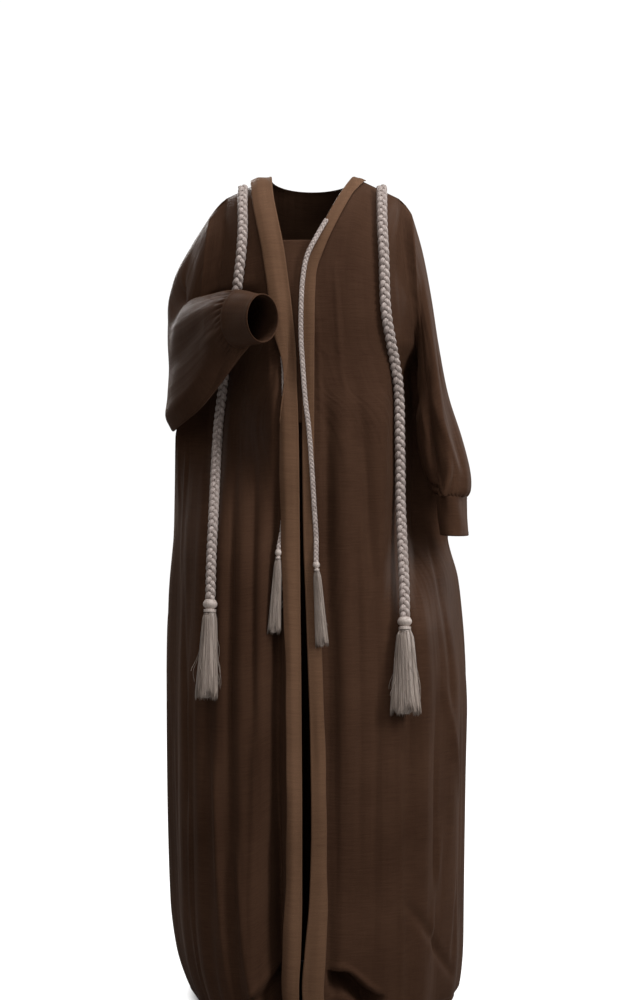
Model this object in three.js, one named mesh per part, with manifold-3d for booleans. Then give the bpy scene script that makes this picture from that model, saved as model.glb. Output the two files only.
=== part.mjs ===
// Abaya: an open-fronted, floor-length over-garment, in the hollow form it takes when it is worn.
//
// Units are millimetres, +Z is up. The front faces -Y and the wearer's left side is +X.
// The origin is at the level of the neck points, on the middle line, where the shoulders carry the
// garment. Lengths down the cloth are given as a drop: the distance below the shoulder line.

import * as THREE from 'three';
import Module from 'manifold-3d';
import { mergeVertices } from 'three/addons/utils/BufferGeometryUtils.js';

const wasm = await Module();
wasm.setup();

// ---------------------------------------------------------------- driving dimensions

const WALL = 1.6; // cloth, with its fold and pile, as one wall
const SEAM_GAP = 0.3; // between two pieces that are sewn together
const GARMENT_LENGTH = 1418; // shoulder line to hem

const NECK_HALF = 70; // neck point from the middle line
const SHOULDER_HALF = 150; // shoulder point from the middle line
const SHOULDER_FALL = 38; // how much lower the shoulder point lies than the neck point
const BACK_NECK_DROP = 20; // how far the back neck dips below the neck points

const ARMHOLE_DROP = 310; // drop of the underarm point
const ARMHOLE_OPENING = 0.5; // share of the body's depth that the armhole takes at its widest
const ARMHOLE_STEPS = 10; // points down the front of an armhole, and as many up its back
const ROOT_GAP = 0.4; // between an armhole and its sleeve
const ROOT_STAND = 3; // first ring of a sleeve, beyond the armhole seam

const SQUARENESS = 0.05; // how far the body's oval sections fill out towards their corners
const FRONT_COLUMNS = 20;
const BACK_COLUMNS = 28;
const COLUMN_SPREAD = 1.25; // sets a front's columns closer together beside its edge

const BAND_LIFT = { right: 8.4, left: 2.5 }; // how far each band's free edge stands off its panel

const UNDERLAP = { from: 118, to: 423, left: -74, right: 2, depth: 4.5 };

// Drops of the body's rows below the underarm; they close up where the hem turns in.
const SKIRT_ROWS = [ARMHOLE_DROP, 350, 400, 460, 530, 610, 700, 800, 900, 1010, 1120, 1220, 1300, 1345,
  1385, GARMENT_LENGTH];

// Half widths to the wearer's right and left, depths forward and back from the line of the side
// seams, and where that line lies, at each drop.
const BODY = [
  { drop: 0, right: 150, left: 150, front: 0, back: 0, middle: 5 },
  { drop: 8, right: 151, left: 151, front: 34, back: 32, middle: 5 },
  { drop: 30, right: 155, left: 155, front: 66, back: 60, middle: 5 },
  { drop: 80, right: 164, left: 164, front: 100, back: 88, middle: 7 },
  { drop: 150, right: 176, left: 176, front: 122, back: 104, middle: 10 },
  { drop: 230, right: 183, left: 183, front: 142, back: 108, middle: 16 },
  { drop: 310, right: 185, left: 183, front: 156, back: 104, middle: 28 },
  { drop: 360, right: 205, left: 201, front: 176, back: 94, middle: 44 },
  { drop: 400, right: 228, left: 222, front: 194, back: 90, middle: 56 },
  { drop: 450, right: 241, left: 233, front: 202, back: 92, middle: 60 },
  { drop: 520, right: 242, left: 238, front: 206, back: 100, middle: 60 },
  { drop: 620, right: 244, left: 238, front: 208, back: 116, middle: 56 },
  { drop: 700, right: 246, left: 252, front: 212, back: 130, middle: 50 },
  { drop: 860, right: 249, left: 264, front: 220, back: 154, middle: 38 },
  { drop: 1050, right: 247, left: 260, front: 228, back: 176, middle: 28 },
  { drop: 1240, right: 241, left: 257, front: 236, back: 190, middle: 22 },
  { drop: 1320, right: 231, left: 256, front: 238, back: 192, middle: 20 },
  { drop: 1390, right: 208, left: 250, front: 236, back: 188, middle: 18 },
  { drop: 1418, right: 190, left: 234, front: 232, back: 182, middle: 18 },
];

// Where the two front edges run, measured from the middle line. Above 180 they are the neckline.
const FRONT_EDGES = [
  { drop: 0, right: -70, left: 70 },
  { drop: 40, right: -66, left: 46 },
  { drop: 86, right: -58, left: 22 },
  { drop: 130, right: -50, left: 2 },
  { drop: 180, right: -43, left: -13 },
  { drop: 240, right: -36, left: -15 },
  { drop: 330, right: -29, left: -15 },
  { drop: 450, right: -25, left: -15 },
  { drop: 620, right: -23, left: -13 },
  { drop: 725, right: -22, left: -9 },
  { drop: 810, right: -21, left: -6 },
  { drop: 930, right: -20, left: -2 },
  { drop: 1080, right: -19, left: 0 },
  { drop: 1200, right: -19, left: -3 },
  { drop: 1290, right: -21, left: -11 },
  { drop: 1345, right: -24, left: -15 },
  { drop: 1418, right: -24, left: -9 },
];

// How much of each front band's width faces forward; the rest is rolled to the inside.
const BANDS = [
  { drop: 0, right: 33, left: 20 },
  { drop: 450, right: 31, left: 17 },
  { drop: 560, right: 27, left: 17 },
  { drop: 640, right: 24, left: 19 },
  { drop: 720, right: 22, left: 22 },
  { drop: 860, right: 19, left: 20 },
  { drop: 1150, right: 19, left: 25 },
  { drop: 1300, right: 24, left: 32 },
  { drop: 1418, right: 32, left: 32 },
];

// Long folds of the body. Angles run round the body in degrees from the middle of the front,
// wearer's right negative; lift is the height of a ridge, or the depth of a trough if negative.
const BODY_FOLDS = [
  { top: -52, hem: -58, from: 430, to: 1600, width: 5.5, lift: 9 },
  { top: -44, hem: -45, from: 380, to: 1600, width: 4.5, lift: 13 },
  { top: -34, hem: -37, from: 420, to: 1600, width: 3.6, lift: 12 },
  { top: -27, hem: -26, from: 400, to: 1600, width: 3.8, lift: 11 },
  { top: -19, hem: -19, from: 480, to: 1600, width: 3.2, lift: 8 },
  { top: -13, hem: -14, from: 180, to: 1600, width: 3.6, lift: -13 },
  { top: -15, hem: -16, from: 1000, to: 1700, width: 4.2, lift: -26 },
  { top: 6, hem: 6, from: 330, to: 1600, width: 2.6, lift: -9 },
  { top: 13, hem: 12, from: 300, to: 1100, width: 4.6, lift: 9 },
  { top: 19, hem: 34, from: 320, to: 760, width: 2.6, lift: -7 },
  { top: 28, hem: 27, from: 760, to: 1600, width: 5.5, lift: 7 },
  { top: 42, hem: 41, from: 640, to: 1600, width: 6, lift: 10 },
  { top: 58, hem: 62, from: 700, to: 1600, width: 6.5, lift: 11 },
  { top: 78, hem: 80, from: 760, to: 1600, width: 6, lift: 8 },
  { top: -72, hem: -76, from: 560, to: 1600, width: 6, lift: 9 },
  { top: 101, hem: 104, from: 560, to: 1600, width: 6.5, lift: 11 },
  { top: 121, hem: 124, from: 420, to: 1600, width: 5.5, lift: 13 },
  { top: 139, hem: 143, from: 470, to: 1600, width: 5.5, lift: 11 },
  { top: 157, hem: 158, from: 260, to: 1600, width: 5, lift: 13 },
  { top: 173, hem: 175, from: 330, to: 1600, width: 5, lift: 10 },
  { top: -171, hem: -168, from: 240, to: 1600, width: 5.5, lift: 14 },
  { top: -153, hem: -150, from: 430, to: 1600, width: 5, lift: 10 },
  { top: -137, hem: -134, from: 380, to: 1600, width: 5.5, lift: 13 },
  { top: -118, hem: -116, from: 500, to: 1600, width: 5.5, lift: 10 },
  { top: -98, hem: -99, from: 620, to: 1600, width: 6, lift: 11 },
];
// The left front buckles over the foot: below `line` it falls back by `depth` between two angles. The
// line itself falls from the angle `turn` on.
const BUCKLE = { line: 1305, fall: 38, turn: 15, edge: 20, from: 3, to: 26, side: 5, depth: 24, kept: 0.5 };
// The hem of the right front lifts beside its band.
const HEM_RISE = { angle: -16, width: 5, rise: 26 };
const FOLD_EASE = 170; // drop over which a fold grows to its full height

// Where an arm rests in front of the body's side, the front gives way behind a sloping line:
// at a distance `out` from the middle line it lies no further forward than `y`.
const ARM_TUCKS = [
  { side: -1, from: 180, full: 245, fade: 380, to: 660, out: 84, y: -102, slope: 1.5, behind: 46 },
  { side: 1, from: 285, full: 345, fade: 560, to: 780, out: 138, y: -74, slope: 3.2, behind: 40 },
];
const TUCK_SOFTNESS = 6;

// Sections of the sleeves, from the armhole to the cuff seam. Each is an oval between its upper
// point and its under point; half is its half thickness, heading turns that thickness from
// front-to-back (0) towards the middle line (90), and slim narrows its under side.
const RIGHT_SLEEVE = [
  { upper: [-176, 6, -70], under: [-200, 20, -318], half: 68, heading: 0, slim: 0.1 },
  { upper: [-206, 8, -116], under: [-212, 16, -354], half: 62, heading: 12, slim: 0.3 },
  { upper: [-231, 4, -172], under: [-224, 8, -406], half: 48, heading: 32, slim: 0.5 },
  { upper: [-211, -20, -214], under: [-240, -10, -437], half: 38, heading: 62, slim: 0.6 },
  { upper: [-196, -48, -213], under: [-221, -46, -424], half: 38, heading: 96, slim: 0.6 },
  { upper: [-178, -78, -211], under: [-190, -76, -398], half: 39, heading: 114, slim: 0.5 },
  { upper: [-158, -106, -209], under: [-163, -104, -366], half: 40, heading: 122, slim: 0.4 },
  { upper: [-138, -132, -207], under: [-140, -130, -332], half: 40, heading: 126, slim: 0.2 },
  { upper: [-119, -156, -209], under: [-120, -156, -301], half: 37, heading: 128, slim: 0 },
];
const LEFT_SLEEVE = [
  { upper: [170, 5, -66], under: [195, 16, -319], half: 66, heading: 0, slim: 0.1 },
  { upper: [188, 3, -128], under: [191, 2, -342], half: 58, heading: 0, slim: 0.3 },
  { upper: [203, 0, -205], under: [187, -13, -362], half: 52, heading: 0, slim: 0.3 },
  { upper: [216, -6, -290], under: [184, -18, -388], half: 48, heading: 0, slim: 0.2 },
  { upper: [232, -14, -375], under: [180, -22, -420], half: 48, heading: 0, slim: 0 },
  { upper: [255, -22, -448], under: [184, -28, -464], half: 48, heading: 4, slim: 0 },
  { upper: [269, -30, -505], under: [195, -34, -510], half: 50, heading: 6, slim: 0 },
  { upper: [270, -38, -538], under: [204, -40, -538], half: 49, heading: 8, slim: 0 },
  { upper: [262, -42, -548], under: [212, -44, -546], half: 43, heading: 8, slim: 0 },
];
const RIGHT_CUFF_END = { upper: [-80, -208, -219], under: [-81, -208, -294], half: 31, heading: 130 };
const LEFT_CUFF_END = { upper: [264, -54, -615], under: [219, -55, -613], half: 38, heading: 10 };

// Creases of the sleeves: station is counted from the first section, around is the angle round
// the section from its upper point through its front.
const RIGHT_SLEEVE_CREASES = [
  { from: 0.5, to: 6, start: 150, end: 120, width: 16, lift: -7 },
  { from: 1.5, to: 7.2, start: 215, end: 235, width: 15, lift: -8 },
  { from: 2, to: 6.5, start: 262, end: 285, width: 15, lift: 6 },
  { from: 3.5, to: 8.2, start: 310, end: 300, width: 14, lift: -5 },
  { from: 5, to: 8.2, start: 185, end: 205, width: 14, lift: 5 },
  { from: 0, to: 4, start: 60, end: 75, width: 18, lift: -6 },
];
const LEFT_SLEEVE_CREASES = [
  { from: 1, to: 7, start: 62, end: 84, width: 15, lift: -6 },
  { from: 2.5, to: 8, start: 108, end: 120, width: 14, lift: 6 },
  { from: 4, to: 8.3, start: 30, end: 44, width: 14, lift: -5 },
  { from: 0.5, to: 6, start: 250, end: 262, width: 16, lift: -6 },
  { from: 4.5, to: 8.3, start: 292, end: 300, width: 15, lift: 5 },
  { from: 3, to: 8, start: 208, end: 222, width: 15, lift: -5 },
];

// Tassels: their bead, wound collar and skirt. A ring of strands has its count, its radius as a share
// of the collar's at the root and of the flare's at the end, and where it starts round the circle.
const SKIRT_RINGS = [
  { count: 15, root: 0.86, end: 1, start: 0 },
  { count: 9, root: 0.52, end: 0.62, start: 0.4 },
  { count: 4, root: 0.2, end: 0.28, start: 0.7 },
];
const SLIM_RINGS = [
  { count: 9, root: 0.8, end: 1, start: 0 },
  { count: 4, root: 0.36, end: 0.5, start: 0.4 },
];
const SIDE_TASSEL = { bead: 23, beadHeight: 17, collar: 21, collarHeight: 8, strandSize: 2.9, rings: SKIRT_RINGS };
const FRONT_TASSEL = { bead: 11.5, beadHeight: 11, collar: 9, collarHeight: 7, strandSize: 2, rings: SLIM_RINGS };
const HEAD_SIDES = 14;
const SKIRT_FLATNESS = 0.6;
const ROOT_DEPTH = 3; // how far the strands' roots reach up into the collar
const STRAND_STATIONS = [0, 0.3, 0.65, 1];

// Cords: the points of each middle line were chosen by hand, from where the cord is sewn on, down
// over the cloth, to the top of its tassel.
const CORD_SIDES = 8;
const TASSEL_GAP = 0.9; // below the tilted end of a cord
const CORD_STEP = 2.6; // length of one step of a cord's tube, in widths of the cord
const CORDS = [
  {
    name: 'side_right', width: 17, thick: 17,
    tasselSizes: { ...SIDE_TASSEL, length: 146, flare: 38 }, tilt: -10, lean: 1,
    route: [[-118, -36, -22], [-118, -64, -53], [-117, -85, -96], [-119, -99, -140], [-126, -97, -200],
      [-134, -58, -250], [-144, -31, -300], [-151, -21, -340], [-157, -13, -385], [-161, -15, -418],
      [-163, -26, -452], [-165, -64, -518], [-166, -108, -585], [-168, -132, -651], [-169, -147, -717]],
  },
  {
    name: 'side_left', width: 18, thick: 18,
    tasselSizes: { ...SIDE_TASSEL, length: 142, flare: 50 }, tilt: -12, lean: 0,
    route: [[118, -36, -22], [117, -64, -53], [117, -85, -96], [119, -98, -140], [121, -110.8, -222],
      [124, -111.8, -251], [130, -107, -284], [137, -96, -318], [143, -89, -351], [146, -82, -385],
      [147, -84, -448], [148, -82, -500], [148, -86, -552], [150, -106, -619], [152, -136, -690],
      [152, -157, -745]],
  },
  {
    name: 'front_right', width: 11, thick: 3.6,
    tasselSizes: { ...FRONT_TASSEL, length: 126, flare: 19 }, tilt: -7, lean: 1,
    route: [[-77, -102.2, -130], [-70, -115.5, -180], [-61, -124.4, -240], [-53, -124.4, -285],
      [-48, -121.6, -330], [-47, -123.4, -365], [-47, -129.2, -400], [-47, -135.2, -450], [-47, -138.4, -500],
      [-47.5, -142, -560], [-50, -143.8, -600], [-56, -150, -634]],
  },
  {
    name: 'front_left', width: 11, thick: 3.6,
    tasselSizes: { ...FRONT_TASSEL, length: 128, flare: 17 }, tilt: -7, lean: -5,
    route: [[24, -99.6, -84], [6, -110.8, -116], [-9, -117, -147], [-16, -123.6, -184], [-19, -130.6, -235],
      [-19, -132.6, -285], [-17, -134, -318], [-12, -142.1, -385], [-6, -147.8, -435], [-1, -151.4, -501],
      [2.5, -155, -559], [6, -158.4, -616], [6, -166, -653]],
  },
];

// ---------------------------------------------------------------- small mathematics

const radians = THREE.MathUtils.degToRad;
const vec = (x, y, z) => new THREE.Vector3(x, y, z);

/** Smooth curve through one column of a table, with no overshoot between its rows. */
function column(table, key, at = 'drop') {
  const xs = table.map((row) => row[at]);
  const ys = table.map((row) => row[key]);
  const slopes = xs.slice(1).map((x, i) => (ys[i + 1] - ys[i]) / (x - xs[i]));
  const tangents = xs.map((_, i) => {
    if (i === 0) return slopes[0];
    if (i === xs.length - 1) return slopes[i - 1];
    const [before, after] = [slopes[i - 1], slopes[i]];
    return before * after <= 0 ? 0 : (2 * before * after) / (before + after);
  });
  return (x) => {
    const clamped = THREE.MathUtils.clamp(x, xs[0], xs[xs.length - 1]);
    let i = 0;
    while (i < xs.length - 2 && clamped > xs[i + 1]) i += 1;
    const span = xs[i + 1] - xs[i];
    const t = (clamped - xs[i]) / span;
    const rise = t * t * (3 - 2 * t);
    return ys[i] * (1 - rise) + ys[i + 1] * rise
      + span * (tangents[i] * t * (1 - t) * (1 - t) - tangents[i + 1] * t * t * (1 - t));
  };
}

const ease = (x, from, to) => THREE.MathUtils.smoothstep(x, from, to);
const bell = (x) => Math.exp(-x * x);

// ---------------------------------------------------------------- the body's surface

const halfRight = column(BODY, 'right');
const halfLeft = column(BODY, 'left');
const depthFront = column(BODY, 'front');
const depthBack = column(BODY, 'back');
const seamLine = column(BODY, 'middle');
const edgeRight = column(FRONT_EDGES, 'right');
const edgeLeft = column(FRONT_EDGES, 'left');
const bandRight = column(BANDS, 'right');
const bandLeft = column(BANDS, 'left');

/** Shortest way round from one angle to another, in degrees. */
const turnBetween = (a, b) => ((a - b + 540) % 360) - 180;

function foldLift(degrees, drop) {
  let lift = 0;
  for (const fold of BODY_FOLDS) {
    const along = THREE.MathUtils.clamp((drop - fold.from) / (GARMENT_LENGTH - fold.from), 0, 1);
    const centre = fold.top + (fold.hem - fold.top) * along;
    const grown = ease(drop, fold.from, fold.from + FOLD_EASE) * (1 - ease(drop, fold.to - FOLD_EASE, fold.to));
    lift += fold.lift * grown * bell(turnBetween(degrees, centre) / fold.width);
  }
  const { edge, from, to, side, depth, kept } = BUCKLE;
  const line = BUCKLE.line + BUCKLE.fall * ease(degrees, BUCKLE.turn, to + side);
  const across = ease(degrees, from - side, from + side) * (1 - ease(degrees, to - side, to + side));
  const below = ease(drop, line, line + edge) * (1 - kept * ease(drop, line + edge, GARMENT_LENGTH));
  return lift - depth * across * below;
}

/** Drop of the hem at an angle. */
const hemDrop = (angle) => GARMENT_LENGTH
  - HEM_RISE.rise * bell(turnBetween(THREE.MathUtils.radToDeg(angle), HEM_RISE.angle) / HEM_RISE.width);

/** How far the front gives way, in +Y, behind an arm that rests on it. */
function tuckBehindArm(x, y, drop, facing) {
  let give = 0;
  for (const arm of ARM_TUCKS) {
    const out = arm.side * x;
    if (out <= 0) continue;
    const window = ease(drop, arm.from, arm.full) * (1 - ease(drop, arm.fade, arm.to)) * ease(facing, 0, 0.2);
    const limit = Math.min(arm.behind, seamLine(drop) - 8, arm.y + arm.slope * (out - arm.out));
    give += window * TUCK_SOFTNESS * Math.log1p(Math.exp((limit - y) / TUCK_SOFTNESS));
  }
  return give;
}

/** Point of the body's outer surface: an oval section of the tables' sizes, raised by its folds. */
function bodyPoint(angle, drop) {
  const [s, c] = [Math.sin(angle), Math.cos(angle)];
  const half = s >= 0 ? halfLeft(drop) : halfRight(drop);
  const depth = c >= 0 ? depthFront(drop) : depthBack(drop);
  const fill = 1 + SQUARENESS * Math.sin(2 * angle) ** 2;
  const out = vec(s / half, -c / Math.max(depth, 1), 0).normalize();
  out.multiplyScalar(foldLift(THREE.MathUtils.radToDeg(angle), drop));
  const x = half * s * fill + out.x;
  let y = seamLine(drop) - depth * c * fill + out.y;
  if (c > 0) y += tuckBehindArm(x, y, drop, c);
  const beyondNeck = THREE.MathUtils.clamp((Math.abs(x) - NECK_HALF) / (SHOULDER_HALF - NECK_HALF), 0, 1);
  const fall = SHOULDER_FALL * beyondNeck * (1 - ease(drop, 0, ARMHOLE_DROP));
  return vec(x, y, -drop - fall);
}

/** Outward normal of the body's surface, from points a little to each side. */
function bodyNormal(angle, drop) {
  const [turn, step] = [0.004, 1.2];
  const across = bodyPoint(angle + turn, drop).sub(bodyPoint(angle - turn, drop));
  const down = bodyPoint(angle, drop + step).sub(bodyPoint(angle, Math.max(drop - step, 0)));
  return down.cross(across).normalize();
}

/** Normal along a shoulder seam, the same for the front and the back that meet there. */
const shoulderNormal = (angle) => vec(Math.sign(Math.sin(angle)) * SHOULDER_FALL, 0, SHOULDER_HALF - NECK_HALF)
  .normalize();

/** Angle at which the front's section reaches a distance x from the middle line. */
const angleAtX = (x, drop) => Math.asin(THREE.MathUtils.clamp(x / (x >= 0 ? halfLeft(drop) : halfRight(drop)), -1, 1));

/** Half angle that the armhole takes out of the side at a drop: an oval, closed at both ends. */
function armholeHalfAngle(step) {
  return Math.asin(ARMHOLE_OPENING * Math.sin((Math.PI * step) / ARMHOLE_STEPS) ** 0.8);
}

const armholeDrop = (step) => ARMHOLE_DROP * 0.5 * (1 - Math.cos((Math.PI * step) / ARMHOLE_STEPS));

// ---------------------------------------------------------------- cloth walls

/** Closed solid between an outer and an inner grid of points; `ring` closes each row on itself. */
function wall(outer, inner, ring = false) {
  const rows = outer.length;
  const columns = outer[0].length;
  const positions = [...outer.flat(), ...inner.flat()].flatMap((p) => [p.x, p.y, p.z]);
  const at = (layer, i, j) => layer * rows * columns + i * columns + (j % columns);
  const index = [];
  const quad = (a, b, c, d) => index.push(a, b, c, a, c, d);
  const last = ring ? columns : columns - 1;
  for (let i = 0; i < rows - 1; i += 1) {
    for (let j = 0; j < last; j += 1) {
      quad(at(0, i, j), at(0, i + 1, j), at(0, i + 1, j + 1), at(0, i, j + 1));
      quad(at(1, i, j), at(1, i, j + 1), at(1, i + 1, j + 1), at(1, i + 1, j));
    }
  }
  for (let j = 0; j < last; j += 1) {
    quad(at(0, 0, j), at(0, 0, j + 1), at(1, 0, j + 1), at(1, 0, j));
    quad(at(0, rows - 1, j), at(1, rows - 1, j), at(1, rows - 1, j + 1), at(0, rows - 1, j + 1));
  }
  for (let i = 0; i < rows - 1 && !ring; i += 1) {
    quad(at(0, i, 0), at(1, i, 0), at(1, i + 1, 0), at(0, i + 1, 0));
    quad(at(0, i, columns - 1), at(0, i + 1, columns - 1), at(1, i + 1, columns - 1), at(1, i, columns - 1));
  }
  return facingOut(positions, index);
}

/** Geometry whose faces point out of the closed form that they bound. */
function facingOut(positions, index) {
  let volume = 0;
  const corner = (k) => vec(...positions.slice(3 * index[k], 3 * index[k] + 3));
  for (let k = 0; k < index.length; k += 3) volume += corner(k).dot(corner(k + 1).cross(corner(k + 2)));
  const faces = volume > 0 ? index : index.slice().reverse();
  const geometry = new THREE.BufferGeometry();
  geometry.setAttribute('position', new THREE.Float32BufferAttribute(positions, 3));
  geometry.setIndex(faces);
  return geometry;
}

/** Grid moved along its normals: one row of vectors for each row of points. */
const moved = (points, normals, distance) => points.map((row, i) => row.map(
  (p, j) => p.clone().addScaledVector(normals[i][j], distance),
));

// ---------------------------------------------------------------- panels

/** Rows of one panel: a drop for each, and the armhole step where the row ends at an armhole. */
function panelRows() {
  const armhole = Array.from({ length: ARMHOLE_STEPS }, (_, step) => ({ drop: armholeDrop(step), step }));
  return [...armhole, ...SKIRT_ROWS.map((drop) => ({ drop, step: ARMHOLE_STEPS }))];
}

/** Points and normals of a panel. `span` gives a row's angle at each share of the panel's width. */
function panelGrid(columns, span, seamSide, topDrop = () => 0) {
  const rows = panelRows();
  const grid = { points: [], normals: [] };
  for (const { drop, step } of rows) {
    const angleOf = span(drop, step);
    const points = [];
    const normals = [];
    for (let j = 0; j <= columns; j += 1) {
      const angle = angleOf(j / columns);
      const top = topDrop(angle);
      const lowered = top + (drop * (hemDrop(angle) - top)) / GARMENT_LENGTH;
      const point = bodyPoint(angle, lowered);
      const normal = lowered === 0 ? shoulderNormal(angle) : bodyNormal(angle, lowered);
      const onSideSeam = step === ARMHOLE_STEPS && Math.abs(Math.cos(angle)) < 1e-6;
      if (onSideSeam) normal.setY(0).normalize();
      point.y += (seamSide * SEAM_GAP) / 2;
      points.push(point);
      normals.push(normal);
    }
    grid.points.push(points);
    grid.normals.push(normals);
  }
  return grid;
}

const quarter = Math.PI / 2;

const frontGrid = (side) => panelGrid(FRONT_COLUMNS, (drop, step) => {
  const from = angleAtX(side > 0 ? edgeLeft(drop) : edgeRight(drop), drop);
  const cut = side * armholeHalfAngle(step);
  return (t) => from + (side * quarter - from) * t ** COLUMN_SPREAD - cut * t * t;
}, -1);

const backNeckAngle = Math.asin(NECK_HALF / SHOULDER_HALF);
const backNeckDrop = (angle) => {
  const out = Math.abs(angle - Math.PI) / backNeckAngle;
  return out >= 1 ? 0 : BACK_NECK_DROP * Math.sqrt(1 - out * out);
};
const backGrid = panelGrid(BACK_COLUMNS, (drop, step) => (t) => {
  const across = 2 * t - 1;
  return Math.PI + quarter * across - armholeHalfAngle(step) * across * Math.abs(across);
}, 1, backNeckDrop);

const panelWall = ({ points, normals }) => wall(points, moved(points, normals, -WALL));

// ---------------------------------------------------------------- sleeves

/** Points, normals and seam directions round an armhole, from its top down the front and back up. */
function armholeRing(side, front) {
  const frontEdge = FRONT_COLUMNS;
  const [backEdge, backNext] = side > 0 ? [0, 1] : [BACK_COLUMNS, BACK_COLUMNS - 1];
  const middle = (a, b) => a.clone().add(b).multiplyScalar(0.5);
  const ring = [];
  const take = (grid, i, edge, next) => ({
    point: grid.points[i][edge], normal: grid.normals[i][edge], inside: grid.points[i][next],
  });
  const top = front.points[0][frontEdge];
  ring.push({ point: middle(top, backGrid.points[0][backEdge]), normal: front.normals[0][frontEdge],
    inside: front.points[0][frontEdge - 1] });
  for (let i = 1; i < ARMHOLE_STEPS; i += 1) ring.push(take(front, i, frontEdge, frontEdge - 1));
  const under = front.points[ARMHOLE_STEPS][frontEdge];
  ring.push({ point: middle(under, backGrid.points[ARMHOLE_STEPS][backEdge]),
    normal: front.normals[ARMHOLE_STEPS][frontEdge], inside: front.points[ARMHOLE_STEPS + 1][frontEdge] });
  for (let i = ARMHOLE_STEPS - 1; i > 0; i -= 1) ring.push(take(backGrid, i, backEdge, backNext));
  return ring.map((seam, k) => {
    const before = ring[(k + ring.length - 1) % ring.length].point;
    const after = ring[(k + 1) % ring.length].point;
    const away = seam.normal.clone().cross(after.clone().sub(before)).normalize();
    if (away.dot(seam.point.clone().sub(seam.inside)) < 0) away.negate();
    return { ...seam, away };
  });
}

/** Points round one oval section of a sleeve. */
function sleeveRing({ upper, under, half, heading, slim = 0 }, side, count) {
  const [top, bottom] = [vec(...upper), vec(...under)];
  const turn = radians(heading);
  const across = vec(-side * Math.sin(turn), -Math.cos(turn), 0);
  return Array.from({ length: count }, (_, k) => {
    const around = (2 * Math.PI * k) / count;
    const height = (1 + Math.cos(around)) / 2;
    const breadth = half * Math.sin(around) * (1 - slim * (1 - height));
    return bottom.clone().lerp(top, height).addScaledVector(across, breadth);
  });
}

/** Outward normals of a tube's grid of rings. */
function tubeNormals(rings) {
  const count = rings[0].length;
  return rings.map((ring, i) => ring.map((_, k) => {
    const along = rings[Math.min(i + 1, rings.length - 1)][k].clone().sub(rings[Math.max(i - 1, 0)][k]);
    const around = ring[(k + 1) % count].clone().sub(ring[(k + count - 1) % count]);
    return around.cross(along).normalize();
  }));
}

/** Adds a smooth ring between each two neighbouring rings. */
function withMiddleRings(rings) {
  const at = (i, k) => rings[THREE.MathUtils.clamp(i, 0, rings.length - 1)][k];
  const result = [];
  rings.forEach((ring, i) => {
    result.push(ring);
    if (i === rings.length - 1) return;
    result.push(ring.map((p, k) => p.clone().add(at(i + 1, k)).multiplyScalar(0.5625)
      .addScaledVector(at(i - 1, k), -0.0625).addScaledVector(at(i + 2, k), -0.0625)));
  });
  return result;
}

function sleeveCrease(creases, station, degrees) {
  let lift = 0;
  for (const { from, to, start, end, width, lift: height } of creases) {
    const along = THREE.MathUtils.clamp((station - from) / (to - from), 0, 1);
    const grown = Math.sin(Math.PI * along);
    lift += height * grown * bell(turnBetween(degrees, start + (end - start) * along) / width);
  }
  return lift;
}

/** Sleeve, from its seam with the armhole to its seam with the cuff. */
function sleeve(side, front, sections, creases) {
  const root = armholeRing(side, front);
  const count = root.length;
  const sign = side > 0 ? 1 : -1;
  let rings = withMiddleRings(sections.map((section) => sleeveRing(section, side, count)));
  const outward = tubeNormals(rings).map((ring) => ring.map((n) => n.multiplyScalar(sign)));
  rings = rings.map((ring, i) => ring.map((p, k) => p.clone()
    .addScaledVector(outward[i][k], sleeveCrease(creases, i / 2, (360 * k) / count))));
  // The walls twist most at the armhole's two ends, so the seam opens a little there.
  const rootGap = (k) => ROOT_GAP * (1 + 1.2 * Math.cos((2 * Math.PI * k) / count) ** 4);
  const seam = root.map(({ point, away }, k) => point.clone().addScaledVector(away, rootGap(k)));
  const stand = root.map(({ point, away }) => point.clone().addScaledVector(away, ROOT_STAND));
  const points = [seam, stand, ...rings];
  const normals = tubeNormals(points).map((ring) => ring.map((n) => n.multiplyScalar(sign)));
  normals[0] = root.map(({ normal }) => normal);
  normals[1] = root.map(({ normal }, k) => normal.clone().lerp(normals[1][k], 0.35).normalize());
  return { points, normals };
}

/** Cuff: a short straight tube that carries on from the last ring of its sleeve. */
function cuff(side, sleeveGrid, end) {
  const lastRing = sleeveGrid.points.at(-1);
  const count = lastRing.length;
  const endRing = sleeveRing(end, side, count);
  const centre = (ring) => ring.reduce((sum, p) => sum.add(p), vec(0, 0, 0)).divideScalar(count);
  const axis = centre(endRing).sub(centre(lastRing)).normalize();
  const start = lastRing.map((p) => p.clone().addScaledVector(axis, SEAM_GAP));
  const rings = [0, 0.5, 1].map((t) => start.map((p, k) => p.clone().lerp(endRing[k], t)));
  const sign = side > 0 ? 1 : -1;
  const normals = tubeNormals(rings).map((ring) => ring.map((n) => n.multiplyScalar(sign)));
  normals[0] = sleeveGrid.normals.at(-1);
  return wall(rings, moved(rings, normals, -WALL), true);
}

const tubeWall = ({ points, normals }) => wall(points, moved(points, normals, -WALL), true);

// ---------------------------------------------------------------- bands and underlap

/** Point or normal between two columns of a grid's row. */
function between(row, place) {
  const j = Math.min(Math.floor(place), row.length - 2);
  return row[j].clone().lerp(row[j + 1], place - j);
}

/** Columns, counted from the front edge, at which a band of a width has its points. */
function bandPlaces(row, width) {
  let j = 0;
  let left = width;
  while (left > row[j].distanceTo(row[j + 1])) {
    left -= row[j].distanceTo(row[j + 1]);
    j += 1;
  }
  const last = j + left / row[j].distanceTo(row[j + 1]);
  return [0, last / 3, (2 * last) / 3, last];
}

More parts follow.
